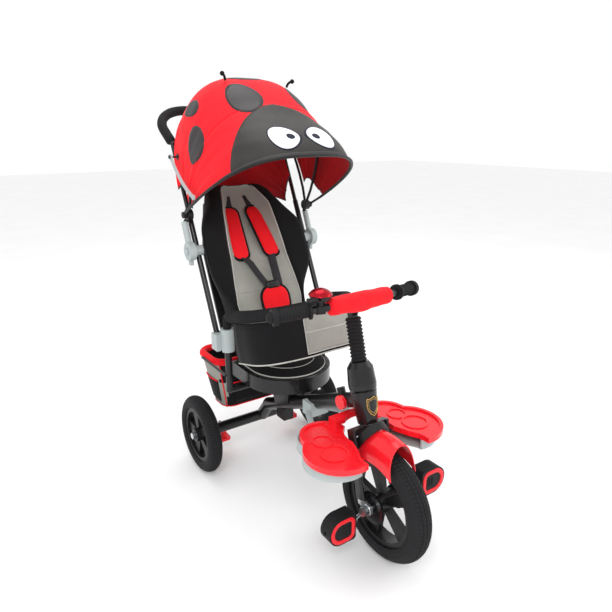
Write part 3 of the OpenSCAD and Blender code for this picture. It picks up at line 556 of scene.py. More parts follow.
def build_canopy():
    hood = canopy_sheet("canopy_hood_cloth", MID_ANGLE, REAR_ANGLE, SIDE_EDGE, 26, 64, "canopy")
    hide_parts("canopy_hood")
    cut(hood, (0.94, 0.31), 0.184, "stretched", ["canopy_bows"])
    front = canopy_sheet("canopy_front_cloth", 27.4, MID_ANGLE, SIDE_EDGE, 24, 64, None)
    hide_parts("canopy_front_panel")
    cut(front, (0.88, 0.205), 0.115, "stretched", ["canopy_bows", "front_bow"])
    flap = canopy_sheet("canopy_flap_cloth", REAR_ANGLE, FLAP_ANGLE, FLAP_EDGE, 30, 48, "canopy", FLAP_HW)
    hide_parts("canopy_flap")
    cut(flap, (0.70, 0.275), 0.122, "hung", ["canopy_bows"])

    front_pieces = [front]
    spots = {"spot_front": (70.5, -0.14, 11, 0.125), "spot_front_left": (76, 0.27, 9.5, 0.1),
             "spot_side": (71, -0.69, 12, 0.11), "spot_side_left": (71, 0.69, 12, 0.11),
             "spot_back": (91, -0.52, 8, 0.07), "spot_back_left": (91, 0.52, 8, 0.07),
             "spot_top": (95, -0.03, 10, 0.11)}
    for name, (angle, u, half_angle, half_u) in spots.items():
        piece = patch(name, oval(angle, u, half_angle, half_u), "spot", "canopy", 0.8)
    flap_spots = {"spot_flap": (133, -0.32, 11, 0.17), "spot_flap_left": (133, 0.32, 11, 0.17),
                  "spot_flap_low": (156, 0, 9, 0.16)}
    for name, (angle, u, half_angle, half_u) in flap_spots.items():
        piece = patch(name, oval(angle, u, half_angle, half_u), "spot", "canopy", 0.8, half_width=FLAP_HW)

    # dark face panel with two eyes
    near, far, widest = 28.5, 65, 0.57

    def face_edge(t, side):
        return near + (far - near) * t, side * widest * (1 - t ** 1.7)
    edge = [face_edge(1 - k / 30, -1) for k in range(31)] + [face_edge(k / 30, 1) for k in range(1, 31)]
    low = [(near, -widest + 2 * widest * k / 30) for k in range(1, 30)]
    outline = edge[:31] + low + edge[31:-1]
    face = patch("canopy_face", outline, "face", None, 0.8, 14, centre=(40, 0.0))
    front_pieces.append(face)
    for side, label in SIDES:
        rim = patch(f"eye_rim_{label}", oval(37.3, side * 0.098, 7.4, 0.096), "eye_dark", None, 1.3, 6)
        white = patch(f"eye_white_{label}", oval(37.3, side * 0.098, 6.6, 0.088), "eye_white", None, 1.7, 6)
        pupil = patch(f"eye_pupil_{label}", oval(37.0, side * 0.05, 1.7, 0.022), "eye_dark", None, 2.1, 4)
        for piece, width in ((rim, 0.08), (white, 0.07), (pupil, 0.018)):
            front_pieces.append(piece)

    # hems, seams and bindings
    def arc(angle, u_max, count=60):
        return [(angle, -u_max + 2 * u_max * k / count) for k in range(count + 1)]

    def band_point(angle, u):
        return canopy_point(angle, u, billow(angle, u) + 1.1)
    band = sheet_mesh("brim_band", band_point, subdivide((27.0, 29.0), 3), subdivide((-SIDE_EDGE, SIDE_EDGE), 64),
                      1.6 * MM, ["band"], None, CANOPY_CENTRE)
    front_pieces.append(band)
    front_pieces.append(canopy_line("brim_piping", arc(27.2, SIDE_EDGE), 1.8, "band", None, 0.2))
    for piece in front_pieces:
        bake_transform(piece)
    canopy_line("seam_middle", arc(MID_ANGLE + 0.4, SIDE_EDGE), 0.6, "red_sheet", "canopy", 0.1)
    canopy_line("seam_rear", arc(REAR_ANGLE - 0.8, SIDE_EDGE), 1.6, "red_sheet", "canopy", 0.4)
    canopy_line("hem_flap", arc(FLAP_ANGLE - 0.5, FLAP_EDGE), 2.0, "band", "canopy", 0.2, FLAP_HW)
    for side, label in SIDES:
        side_edge = [(MID_ANGLE + k, side * SIDE_EDGE) for k in range(0, 52)]
        canopy_line(f"hem_side_{label}", side_edge, 2.0, "band", "canopy", 0.0)
        flap_edge = [(REAR_ANGLE + k, side * FLAP_EDGE) for k in range(0, 59)]
        canopy_line(f"hem_flap_{label}", flap_edge, 1.8, "band", "canopy", 0.0, FLAP_HW)
        front_edge = [(27.4 + k * 0.7, side * SIDE_EDGE) for k in range(0, 50)]
        line = canopy_line(f"hem_front_{label}", front_edge, 2.0, "band", None, 0.0)
        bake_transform(line)
    # antennae: soft stubs with a round tip, on a short base
    for side, label, angle, u in ((-1, "right", 85, -0.16), (1, "left", 83, 0.22)):
        root = canopy_point(angle, u, 0)
        path = [root] + [root + Vector((side * x, y, z)) * MM for x, y, z in ((2, -2, 8), (7, -6, 14), (13, -10, 16))]
        stem = sweep(f"antenna_{label}", rounded_path(path, 6 * MM, 5), 3.4 * MM, "black_cloth", "canopy", 12)
        tip = ball(f"antenna_tip_{label}", path[-1], 6.2 * MM, "black_cloth", "canopy")


def ball(name, centre, radius, material, body, segments=24):
    verts, faces = [], []
    rings = segments // 2
    for i in range(1, rings):
        a = math.pi * i / rings
        for k in range(segments):
            b = 2 * math.pi * k / segments
            verts.append(centre + Vector((math.sin(a) * math.cos(b), math.sin(a) * math.sin(b), math.cos(a))) * radius)
    top, bottom = len(verts), len(verts) + 1
    verts += [centre + Vector((0, 0, radius)), centre - Vector((0, 0, radius))]
    last = (rings - 2) * segments
    for k in range(segments):
        k2 = (k + 1) % segments
        faces.append((top, k, k2))
        for base in range(0, last, segments):
            faces.append((base + k, base + segments + k, base + segments + k2, base + k2))
        faces.append((bottom, last + k2, last + k))
    return solid(name, verts, faces, [material], body)


# ---------------------------------------------------------------- soft goods
def pose(origin, degrees):
    """A tilted frame: turns (x, y, z) in millimetres about X by degrees, then shifts it to the origin (s, z)."""
    c, s = math.cos(math.radians(degrees)), math.sin(math.radians(degrees))

    def place(x, y, z):
        return at(x, origin[0] + y * c - z * s, origin[1] + y * s + z * c)
    return place


back = pose((552, 392), -24)
rail = pose((487, 521), -15)
loop = pose((750.3, 979), 32)


def rounded_rect(width, height, corner, steps=9):
    points = []
    for cx, cz, start in ((1, 1, 0), (-1, 1, 90), (-1, -1, 180), (1, -1, 270)):
        for k in range(steps + 1):
            a = math.radians(start + 90 * k / steps)
            points.append((cx * (width / 2 - corner) + corner * math.cos(a),
                           cz * (height / 2 - corner) + corner * math.sin(a)))
    return points


def denser(points, step):
    out = []
    for (x, z), (x2, z2) in zip(points, points[1:] + points[:1]):
        pieces = max(1, int(math.hypot(x2 - x, z2 - z) / step))
        out += [(x + (x2 - x) * k / pieces, z + (z2 - z) * k / pieces) for k in range(pieces)]
    return out


def cushion(name, place, outline, thickness, material, body, rings=9, power=3.0, creases=0.6, edge=0.35):
    """Stuffed form over an outline of (x, z): a crowned face forward, a flatter one behind, soft where they meet."""
    outline = denser(outline, 6)
    cx = sum(x for x, z in outline) / len(outline)
    cz = sum(z for x, z in outline) / len(outline)
    count = len(outline)
    verts = []

    def depth(x, z, t, front):
        crown = (1 - t ** power) ** 0.6
        wave = field.noise(Vector((x * 0.03, z * 0.022, 3.1 if front else 8.7)))
        if front:
            return thickness * (edge + (1 - edge) * crown) + creases * wave * (1 - t ** 4)
        return thickness * edge * (1 - crown)
    for front in (True, False):
        verts.append(place(cx, cz, depth(cx, cz, 0, front)))
        for ring in range(1, rings + 1):
            t = math.sin(math.pi / 2 * ring / rings)
            for x, z in outline:
                px, pz = cx + (x - cx) * t, cz + (z - cz) * t
                verts.append(place(px, pz, depth(px, pz, t, front)))
    obj = make(name, verts, double_disc_faces(count, rings), [material], body)
    tidy_mesh(obj, weld=0.00005)
    smooth_more(obj)
    return obj


def edge_cord(name, place, outline, depth, radius, material, body, flat=(1, 1)):
    path = [place(x, z, depth) for x, z in denser(outline, 8)]
    return sweep(name, path, radius * MM, material, body, 10, closed=True, up=Vector((0, -1, 0.3)), flat=flat)


def strip(name, path, across, width, thickness, material, body):
    """Flat webbing along a path; across is the direction of its width."""
    path = [Vector(p) for p in path]
    verts = []
    for i, p in enumerate(path):
        ahead = (path[min(i + 1, len(path) - 1)] - path[max(i - 1, 0)]).normalized()
        side = (Vector(across) - ahead * Vector(across).dot(ahead)).normalized()
        face = ahead.cross(side)
        half, thin, soft = width / 2 * MM, thickness / 2 * MM, 0.7 * MM
        for a, b in ((half, thin * 0.4), (half - soft, thin), (soft - half, thin), (-half, thin * 0.4),
                     (-half, -thin * 0.4), (soft - half, -thin), (half - soft, -thin), (half, -thin * 0.4)):
            verts.append(p + side * a + face * b)
    return solid(name, verts, loft_faces(len(path), 8) + end_caps(len(path), 8, -1), [material], body)


MIDDLE = ((24, 88), (60, 98), (100, 103), (143, 97), (211, 71), (312, 41), (414, 21), (470, 14), (500, 12))
BOLSTER = ((24, 82), (143, 89), (250, 83), (345, 80), (423, 76), (470, 50), (494, 34), (500, 30))


def profile(table, z):
    return float(np.interp(z, [a for a, b in table], [b for a, b in table]))


def liner_width(z):
    return float(np.interp(z, [20, 300, 400, 450, 480, 496], [1, 1, 0.95, 0.88, 0.80, 0.68]))


def liner_seam(z):
    """Half-width of the grey centre: widest at the hips, narrower to the shoulders."""
    return float(np.interp(z, [20, 60, 120, 180, 250, 330, 420, 500], [90, 100, 108, 103, 94, 90, 84, 66]))


def liner_depth(x, z):
    """How far the grey centre stands forward: a hollow that rises to the bolsters."""
    m, b, x0 = profile(MIDDLE, z), profile(BOLSTER, z), liner_seam(z)
    rise = max(0.0, (abs(x) - 25) / (x0 - 25))
    return m + 1 + (b - 5 - m) * rise ** 3


def build_liner():
    rows = [24, 26, 31, 40] + list(np.linspace(54, 455, 42)) + [466, 476, 485, 491, 494]
    grow = {24: 0.86, 26: 0.95, 31: 0.99, 476: 0.98, 485: 0.93, 491: 0.84, 494: 0.7}
    verts, index = [], []
    for z in rows:
        m, b = profile(MIDDLE, z), profile(BOLSTER, z)
        wing = float(np.interp(z, [100, 240, 340, 455], [0, 1, 1, 0]))
        wing = wing * wing * (3 - 2 * wing)
        x0 = liner_seam(z)
        plain = [(x0 + 4, b - 3), (x0 + 8, b), (max(x0 + 10, 116), b), (121, b - 6), (124, b * 0.8), (125, b * 0.6),
                 (125, b * 0.42), (124, b * 0.25), (121, 7), (112, 1.5)]
        winged = [(x0 + 4, b - 3), (x0 + 10, b + 1), (max(x0 + 14, 124), b + 4), (142, b + 7), (158, b + 11),
                  (168, b + 10), (172, b - 3), (158, b * 0.62), (134, b * 0.34), (116, 2)]
        outer = [(p[0] + (q[0] - p[0]) * wing, p[1] + (q[1] - p[1]) * wing) for p, q in zip(plain, winged)]
        half = ([(x, liner_depth(x, z)) for x in (0, x0 * 0.25, x0 * 0.45, x0 * 0.63, x0 * 0.8, x0 - 5)]
                + [(x0, liner_depth(x0, z) - 4)] + outer + [(80, 0.3), (40, 0.3), (0, 0.3)])
        loop_points = half + [(-x, d) for x, d in reversed(half[1:-1])]
        count = len(loop_points)
        k = grow.get(z, 1.0)
        w = liner_width(z)
        for x, d in loop_points:
            crease = 1.3 * field.noise(Vector((x * 0.035, z * 0.02, 5.0))) if d > 12 else 0
            depth = max(0.3, (d - 30) * k + 30 + crease) if d > 1 else 0.3
            verts.append(back(x * w * (0.5 + 0.5 * k), -depth, z))
    for i in range(len(rows) - 1):
        index += [1 if (k < 6 or k >= count - 6) and 2 < i else 0 for k in range(count)]
    faces = loft_faces(len(rows), count) + end_caps(len(rows), count)
    liner = solid("seat_liner", verts, faces, ["black_cloth", "grey_cloth"], "backrest", index + [0, 0])
    smooth_more(liner)
    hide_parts("backrest_pad")
    for side, label in SIDES:
        path = []
        for z in np.linspace(36, 488, 60):
            x0 = liner_seam(z)
            path.append(back(side * x0 * liner_width(z), -(liner_depth(x0, z) - 1.5), z))
        sweep(f"liner_piping_{label}", path, 2.0 * MM, "piping", "backrest", 10)
        wing_edge = []
        for z in np.linspace(244, 336, 24):
            wing_edge.append(back(side * 170 * liner_width(z), -(profile(BOLSTER, z) + 5), z))
        sweep(f"wing_piping_{label}", wing_edge, 1.5 * MM, "black_cloth", "backrest", 8)
    for z in (150, 352):
        across = np.linspace(-0.9, 0.9, 24) * liner_seam(z)
        stitch = [back(x * liner_width(z), -(liner_depth(x, z) + 0.3), z) for x in across]
        sweep(f"liner_stitch_{z}", stitch, 0.6 * MM, "grey_cloth", "backrest", 6)


STRAP_ROUTE = ((47, 63, 262), (42, 74, 248), (38, 82, 236), (33, 92, 212), (27, 103, 188), (22, 113, 168),
               (18, 118, 156))


def build_harness():
    c14, s14 = math.cos(math.radians(14)), math.sin(math.radians(14))
    c5, s5 = math.cos(math.radians(5)), math.sin(math.radians(5))
    for side, label in SIDES:
        def place(x, z, depth, side=side):
            px, py, pz = x * c5 - z * s5, -depth, x * s5 + z * c5
            return back(side * (47 + px), -43 + py * c14 + pz * s14, 336 - py * s14 + pz * c14)
        shape = rounded_rect(52, 176, 21)
        pad = cushion(f"shoulder_pad_{label}", place, shape, 12.5, "red_cloth", "backrest", 8, 3.5)
        edge_cord(f"shoulder_binding_{label}", place, rounded_rect(54, 178, 22), 4.5, 3.0, "black_cloth", "backrest",
                  (0.8, 1.5))
        strap = [back(side * x, -y, z) for x, y, z in STRAP_ROUTE]
        web = strip(f"strap_{label}", strap, (1, 0, 0.2 * side), 25, 2.4, "strap", "backrest")
        upper = [back(side * x, -y, z) for x, y, z in ((40, 30, 408), (38, 24, 428), (36, 19, 446), (34, 16, 462))]
        strip(f"strap_top_{label}", upper, (1, 0, 0), 25, 2.4, "strap", "backrest")
        if side < 0:
            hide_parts("harness_straps")
        lines = [back(side * (x + 9), -(y + 1.6), z) for x, y, z in STRAP_ROUTE[1:5]]
        sweep(f"strap_stitch_{label}", lines, 0.5 * MM, "piping", "backrest", 5)
    c2, s2 = math.cos(math.radians(2)), math.sin(math.radians(2))

    def crotch(x, z, depth):
        return back(x, -110 - depth * c2 - z * s2, 112 - depth * s2 + z * c2)
    pad = cushion("crotch_pad", crotch, rounded_rect(90, 86, 35), 13.5, "red_cloth", "backrest", 8, 3.5)
    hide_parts("harness_pads")
    edge_cord("crotch_binding", crotch, rounded_rect(92, 88, 36), 5, 3.0, "black_cloth", "backrest", (0.8, 1.5))

    def buckle(x, z, depth):
        return back(x, -112 - depth, 158 + z)
    cushion("buckle", buckle, rounded_rect(44, 26, 9), 12, "black_plastic", "backrest", 5, 5.0, 0.0, 0.5)


SEAT_HW = 130
SEAT_S = 442
SEAT_BACK = 540


def seat_outline(inset, corner=14):
    r = SEAT_HW - inset
    points = []
    for k in range(33):
        a = math.pi * k / 32
        points.append((r * math.cos(a), SEAT_S - r * math.sin(a)))
    points.append((-r, SEAT_BACK - inset - corner))
    points.append((-r + corner, SEAT_BACK - inset))
    points.append((r - corner, SEAT_BACK - inset))
    points.append((r, SEAT_BACK - inset - corner))
    return points


def build_seat():
    def place(x, s, depth):
        return at(x, s, 348.4 + depth)
    pad = cushion("seat_pad", place, seat_outline(15), 31, "black_cloth", "frame", 10, 4.0, 1.2, 0.45)
    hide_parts("seat_cushion")
    edge_cord("seat_piping", place, seat_outline(15.5), 14, 2.0, "piping", "frame")
    inner = [(x * 0.72, SEAT_S + (s - SEAT_S) * 0.72) for x, s in seat_outline(15)]
    edge_cord("seat_piping_inner", place, inner, 29.2, 1.3, "piping", "frame")


def u_path(place, half_width, reach, bend, steps=16):
    """Centre line of a U in a tilted frame, from one open end round the closed end to the other."""
    points = [place(half_width, 0, 0)]
    for k in range(1, 6):
        points.append(place(half_width, -(reach - bend) * k / 5, 0))
    for k in range(1, steps + 1):
        a = math.pi / 2 * k / steps
        points.append(place(half_width - bend + bend * math.cos(a), -(reach - bend) - bend * math.sin(a), 0))
    mirrored = []
    for p in reversed(points):
        mirrored.append(Vector((-p.x, p.y, p.z)))
    return fine_path(points + mirrored, 14 * MM)


def rounded_ends(radius, total, wobble=0.0):
    """Radius along a bar whose two ends are domed; total is its length in the same unit."""
    def at_share(t):
        end = min(t, 1 - t) * total
        dome = math.sqrt(max(0.0, 1 - (1 - min(1.0, end / radius)) ** 2))
        wave = wobble * math.sin(t * 61) * math.sin(t * 23 + 1)
        return (radius * (0.35 + 0.65 * dome) + wave) * MM
    return at_share


def path_length(path):
    return sum((b - a).length for a, b in zip(path, path[1:])) / MM


GUARD_MIDDLE = at(0, 440, 500)


def build_guard():
    path = u_path(rail, 165, 190, 96)
    foam = sweep("guard_foam_cover", path, rounded_ends(17, path_length(path), 0.25), "foam", "guard", 28)
    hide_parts("guard_foam")
    for side, label in SIDES:
        post = [at(side * 165, 487, z) for z in (488, 489, 500, 512, 520)]
        sleeve = sweep(f"guard_sleeve_{label}", post, 12 * MM, "foam", "guard", 24, up=Vector((1, 0, 0)))
    # cloth apron below the rail
    track = u_path(rail, 166.5, 191.5, 97.5)
    track = [p for p in track if (p - rail(p.x / MM, 0, 0)).length > 27 * MM]
    along = [0.0]
    for a, b in zip(track, track[1:]):
        along.append(along[-1] + (b - a).length)
    down = rail(0, 0, -1) - rail(0, 0, 0)
    down.normalize()

    def point(u, v):
        i = int(round(u))
        p = track[i]
        out = Vector((p.x, p.y - at(0, 400, 0).y, 0)).normalized()
        belly = 3.0 * math.sin(math.pi * v) + 1.4 * math.sin(along[i] * 46) * v
        return p + down * (17.6 + 111.5 * v) * MM + out * belly * MM
    apron = sheet_mesh("apron", point, list(range(len(track))), shares(15), 2.6 * MM,
                       ["black_cloth", "grey_cloth"], "guard", GUARD_MIDDLE)
    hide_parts("guard_apron")
    cut(apron, (0.58, 0.112), 0.0649, "hung", ["guard_foam_cover"])
    for name, share, radius in (("apron_hem", 1.0, 2.0), ("apron_seam", 0.14, 1.1)):
        line = [point(i, share) for i in range(len(track))]
        sweep(name, line, radius * MM, "piping" if share == 1.0 else "black_cloth", "guard", 8)
    # grey pocket panel sewn on the outside of the front
    middle_part = [i for i in range(len(track)) if -52 * MM < track[i].x < 150 * MM]

    def panel_point(u, v):
        i = int(round(u))
        share = (i - middle_part[0]) / (len(middle_part) - 1)
        p = point(i, 0.02 + 0.9 * v)
        out = Vector((p.x, p.y - GUARD_MIDDLE.y, 0)).normalized()
        swell = 4.5 * math.sin(math.pi * share) ** 0.5 * math.sin(math.pi * min(1.0, v + 0.15)) ** 0.5
        return p + out * (1.2 + swell) * MM
    panel = sheet_mesh("apron_panel", panel_point, middle_part, shares(13), 1.6 * MM, ["grey_cloth"], "guard",
                       GUARD_MIDDLE)
    for name, share, radius, material in (("panel_hem", 0.42, 1.7, "piping"), ("panel_seam", 1.0, 1.4, "piping")):
        sweep(name, [panel_point(i, share) for i in middle_part], radius * MM, material, "guard", 8)
    for name, i in (("panel_side_right", middle_part[0]), ("panel_side_left", middle_part[-1])):
        sweep(name, [panel_point(i, v) for v in shares(12)], 1.4 * MM, "piping", "guard", 8)
    # cloth pocket hung inside the front
    inside = [i for i in range(len(track)) if abs(track[i].x) < 118 * MM]

    def pocket_point(u, v):
        i = int(round(u))
        p = point(i, 0.2 + 0.76 * v)
        back_out = Vector((p.x, p.y - GUARD_MIDDLE.y, 0)).normalized()
        return p - back_out * (5.5 + 5 * math.sin(math.pi * v)) * MM
    pocket = sheet_mesh("apron_pocket", pocket_point, inside, shares(11), 2.0 * MM, ["grey_cloth"], "guard",
                        GUARD_MIDDLE)
    sweep("pocket_hem", [pocket_point(i, 0) for i in inside], 1.8 * MM, "piping", "guard", 8)


def basket_size(level):
    """Width, depth, middle and height of the basket at a level from 0, floor, to 1, rim."""
    return 280 + 40 * level, 98 + 40 * level, 622 + 19 * level, 190 + 145 * level


def basket_ring(level, inset=0.0, belly=0.0):
    """Rounded rectangle of the basket at a level."""
    width, deep, centre, z = basket_size(level)
    width, deep = width - 2 * inset, deep - 2 * inset
    out = []
    for x, y in denser(rounded_rect(width, deep, 34 - inset * 0.5, 8), 12):
        flat_x = max(0.0, 1 - (2 * x / width) ** 2)
        flat_y = max(0.0, 1 - (2 * y / deep) ** 2)
        push_y = belly * flat_x * (1 if y > 0 else -1) * (1 if abs(y) > deep / 2 - 6 else 0)
        push_x = belly * 0.6 * flat_y * (1 if x > 0 else -1) * (1 if abs(x) > width / 2 - 6 else 0)
        out.append((x + push_x, y + push_y, centre, z))
    return out


def build_basket():
    levels = shares(13)
    rings = [basket_ring(0, 14), basket_ring(0, 4)]
    rings += [basket_ring(level, 0, 5.0 * math.sin(math.pi * level) + 0.8 * math.sin(9 * level)) for level in levels]
    rings += [basket_ring(level, 3.2, 5.0 * math.sin(math.pi * level)) for level in reversed(levels)]
    rings += [basket_ring(0, 8), basket_ring(0, 16)]
    count = min(len(r) for r in rings)
    verts = []
    for number, ring in enumerate(rings):
        lift = 3.0 if number >= len(rings) - 15 and ring[0][3] < 192 else 0
        n = len(ring)
        for k in range(count):
            f = k * n / count
            i, g = int(f), f - int(f)
            a, b = ring[i % n], ring[(i + 1) % n]
            x, y = a[0] + (b[0] - a[0]) * g, a[1] + (b[1] - a[1]) * g
            verts.append(at(x, a[2] + y, a[3] + lift))
    index = []
    for i in range(len(rings) - 1):
        for k in range(count):
            side = abs(verts[i * count + k].x) > (150 if i > 8 else 132) * MM
            index.append(1 if side and i < 15 else 0)
    faces = loft_faces(len(rings), count) + end_caps(len(rings), count)
    body = solid("basket_cloth", verts, faces, ["black_cloth", "grey_cloth"], "frame", index + [0, 0])
    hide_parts("basket_body")
    cut(body, (0.78, 0.25), 0.142, "hung", ["basket_rim_pad"])
    # padded rim over its wire
    path = [at(x, 641 + y, 345) for x, y in denser(rounded_rect(320, 138, 40, 10), 7)]

    def rim_radius(t):
        return (11 + 0.35 * math.sin(t * 180) * math.sin(t * 47)) * MM
    rim = sweep("basket_rim_pad", path, rim_radius, "red_cloth", "frame", 22, closed=True)
    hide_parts("basket_rim")
    # red piping down the corners, round the floor and on the pocket
    for cx, label in SIDES:
        for cy, end in ENDS:
            line = []
            for level in np.linspace(0, 0.98, 12):
                width, deep, centre, z = basket_size(level)
                line.append(at(cx * (width / 2 - 9), centre + cy * (deep / 2 - 9.5), z))
            sweep(f"basket_piping_{label}_{end}", line, 2.0 * MM, "red_piping", "frame", 8)
    floor = [at(x, c + y, z + 2) for x, y, c, z in basket_ring(0.0)]
    sweep("basket_piping_floor", floor, 2.0 * MM, "red_piping", "frame", 8, closed=True)
    for side, label in SIDES:
        def pocket_point(u, v, side=side):
            width, deep, centre, z = basket_size(0.12 + 0.5 * v)
            swell = 6 * math.sin(math.pi * u) * (0.45 + 0.55 * v)
            return at(side * (width / 2 + 1.6 + swell), centre + (u - 0.5) * (deep - 44), z)
        pocket = sheet_mesh(f"basket_pocket_{label}", pocket_point, shares(17), shares(9),
                            1.4 * MM, ["black_cloth"], "frame", at(0, 630, 250))
        sweep(f"basket_pocket_trim_{label}", [pocket_point(u, 1.0) for u in shares(20)], 2.2 * MM, "red_piping",
              "frame", 8)
    for cy, label in ENDS:
        def panel_point(u, v, cy=cy):
            level = 0.1 + 0.48 * v
            width, deep, centre, z = basket_size(level)
            swell = 5.5 * math.sin(math.pi * u) * (0.5 + 0.5 * v) + 4.5 * math.sin(math.pi * level)
            return at((u - 0.5) * (width - 74), centre + cy * (deep / 2 + 1.6 + swell), z)
        panel = sheet_mesh(f"basket_panel_{label}", panel_point, shares(25), shares(9),
                           1.4 * MM, ["black_cloth"], "frame", at(0, 630, 250))
        sweep(f"basket_panel_trim_{label}", [panel_point(u, 1.0) for u in shares(28)], 2.2 * MM, "red_piping",
              "frame", 8)


BAR_S, BAR_Z = 114, 634


def build_bar_cover():
    """Sewn sleeve round the middle of the handlebar, fuller where it covers the clamp."""
    count, verts = 40, []
    xs = [-91, -90, -86, -80] + list(np.linspace(-72, 72, 25)) + [80, 86, 90, 91]
    close = {91: 0.62, 90: 0.78, 86: 0.93, 80: 0.985}
    for x in xs:
        k = close.get(abs(int(round(x))), 1.0) if abs(x) > 75 else 1.0
        lump = math.exp(-(x / 34) ** 2)
        for j in range(count):
            a = 2 * math.pi * j / count
            ca, sa = math.cos(a), math.sin(a)
            y = 20.5 * math.copysign(abs(ca) ** 0.8, ca)
            z = (20.5 + (5 * lump if sa < 0 else 2 * lump)) * math.copysign(abs(sa) ** 0.8, sa)
            crease = 1.2 * field.noise(Vector((x * 0.05, ca * 1.4, sa * 1.4)))
            r = k * (1 + crease / 20)
            verts.append(at(x, BAR_S + y * r, BAR_Z + z * r))
    faces = loft_faces(len(xs), count) + end_caps(len(xs), count)
    cover = solid("bar_cover", verts, faces, ["red_cloth"], "steering")
    smooth_more(cover)
    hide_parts("handlebar_pad")
    seam = [at(x, BAR_S + 16.5, BAR_Z - 13.5) for x in np.linspace(-84, 84, 30)]
    sweep("bar_cover_seam", seam, 1.2 * MM, "red_piping", "steering", 8)
    for side, label in SIDES:
        turns = [2 * math.pi * k / 36 for k in range(36)]
        ring = [at(side * 86, BAR_S + 19.2 * math.cos(a), BAR_Z + 19.2 * math.sin(a)) for a in turns]
        sweep(f"bar_cover_hem_{label}", ring, 1.0 * MM, "red_piping", "steering", 6, closed=True, up=Vector((1, 0, 0)))


def build_push_grip():
    path = u_path(lambda x, y, z: loop(x, -y, z), 184, 180, 112)
    foam = sweep("push_foam", path, rounded_ends(14, path_length(path), 0.2), "foam", "handle", 26)
    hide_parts("push_grip")


# ---------------------------------------------------------------- tyres and trims
def tyre_mesh(name, node, centre, outer, width, bead, body):
    """Tyre with a centre rib, two rows of tread blocks a side, shoulder lugs and rings on the sidewalls."""
    half = width / 2
    core = outer - half
    last = math.degrees(math.acos((bead + 0.6 - core) / half))
    marks = [0, 5, 6, 9, 10, 18, 25, 26, 29, 30, 38, 46, 48, 54, 62, 70, 74, 76, 80, 90, 100, 103, 106]
    marks = [m * last / 120 if m > 54 else m for m in marks] + [last * 0.95, last]
    angles = [-m for m in reversed(marks[1:])] + marks
    steps = 360
    verts = []
    for i in range(steps):
        turn = 2 * math.pi * i / steps
        for phi in angles:
            a = abs(phi)
            left = 1 if phi > 0 else 0
            groove = 0.0
            if a <= 5:
                groove = 0.7 if i % 8 == 0 else 0.0
            elif 6 <= a <= 9:
                groove = 1.6
            elif 10 <= a <= 25:
                groove = 1.6 if (i + 2 * left) % 4 == 0 else 0.0
            elif 26 <= a <= 29:
                groove = 1.6
            elif 30 <= a <= 46:
                groove = 1.8 if (i + 2 * left + 1) % 4 == 0 else 0.0
            elif 74 * last / 120 <= a <= 76 * last / 120:
                groove = -0.5
            elif 103 * last / 120 <= a <= 104 * last / 120:
                groove = -0.6
            r = core + (half - groove) * math.cos(math.radians(phi))
            x = (half - groove) * math.sin(math.radians(phi))
            verts.append(at(centre[0] + x, centre[1] + r * math.cos(turn), centre[2] + r * math.sin(turn)))
    obj = solid(name, verts, loft_faces(steps, len(angles), closed=True), ["tyre"], body)
    modifier = obj.modifiers.new("edges", "EDGE_SPLIT")
    modifier.split_angle = math.radians(38)
    apply_modifiers(obj)
    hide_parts(node)


FRONT_WHEEL = (0, 0, 148)
REAR_RIGHT_WHEEL = (-218, 593, 120)
REAR_LEFT_WHEEL = (218, 593, 120)


def build_wheels():
    tyre_mesh("tread_front", "front_tyre", FRONT_WHEEL, 148, 56, 106, "front_wheel")
    tyre_mesh("tread_right", "rear_tyre_right", REAR_RIGHT_WHEEL, 120, 44, 84, "rear_wheel_r")
    tyre_mesh("tread_left", "rear_tyre_left", REAR_LEFT_WHEEL, 120, 44, 84, "rear_wheel_l")
    for name, body, centre, radius, angle in (("valve_front", "front_wheel", FRONT_WHEEL, 94, 58),
                                              ("valve_right", "rear_wheel_r", REAR_RIGHT_WHEEL, 72, 40),
                                              ("valve_left", "rear_wheel_l", REAR_LEFT_WHEEL, 72, 40)):
        a = math.radians(angle)
        path = []
        for r in (radius + 4, radius, radius - 6, radius - 12, radius - 13):
            path.append(at(centre[0] + (radius - r) * 0.55, centre[1] - r * math.cos(a), centre[2] + r * math.sin(a)))
        sweep(name, path, lambda t: (3.6 - 1.2 * t) * MM, "tyre", body, 14, up=Vector((1, 0, 0)))


def build_pedals():
    for side, label, body, s, z in ((-1, "right", "pedal_r", 30, 106), (1, "left", "pedal_l", -30, 190)):
        for face, end in ENDS:
            outline = [(-31, -27), (3.5, -27)]
            half_turn = np.linspace(-math.pi / 2, math.pi / 2, 20)[1:]
            outline += [(3.5 + 27 * math.cos(a), 27 * math.sin(a)) for a in half_turn]
            outline += [(-31, 27)]
            corners = rounded_path([Vector((x, 0, y)) for x, y in outline], 16, 7, closed=True)
            path = [at(side * (116.5 + p.x), s + face * 19.2, z + p.z) for p in corners]
            sweep(f"pedal_ring_{label}_{end}", path, 4.6 * MM, "red_matt", body, 14, closed=True,
                  up=Vector((0, 1, 0)), flat=(0.5, 1.2))
            for bar in (-1, 0, 1):
                slot = [at(side * (104 + 9 * bar), s + face * 19.2, z + dz) for dz in np.linspace(-11, 11, 6)]
                sweep(f"pedal_rib_{label}_{end}_{bar + 1}", slot, 1.6 * MM, "grip", body, 10, up=Vector((0, 1, 0)))


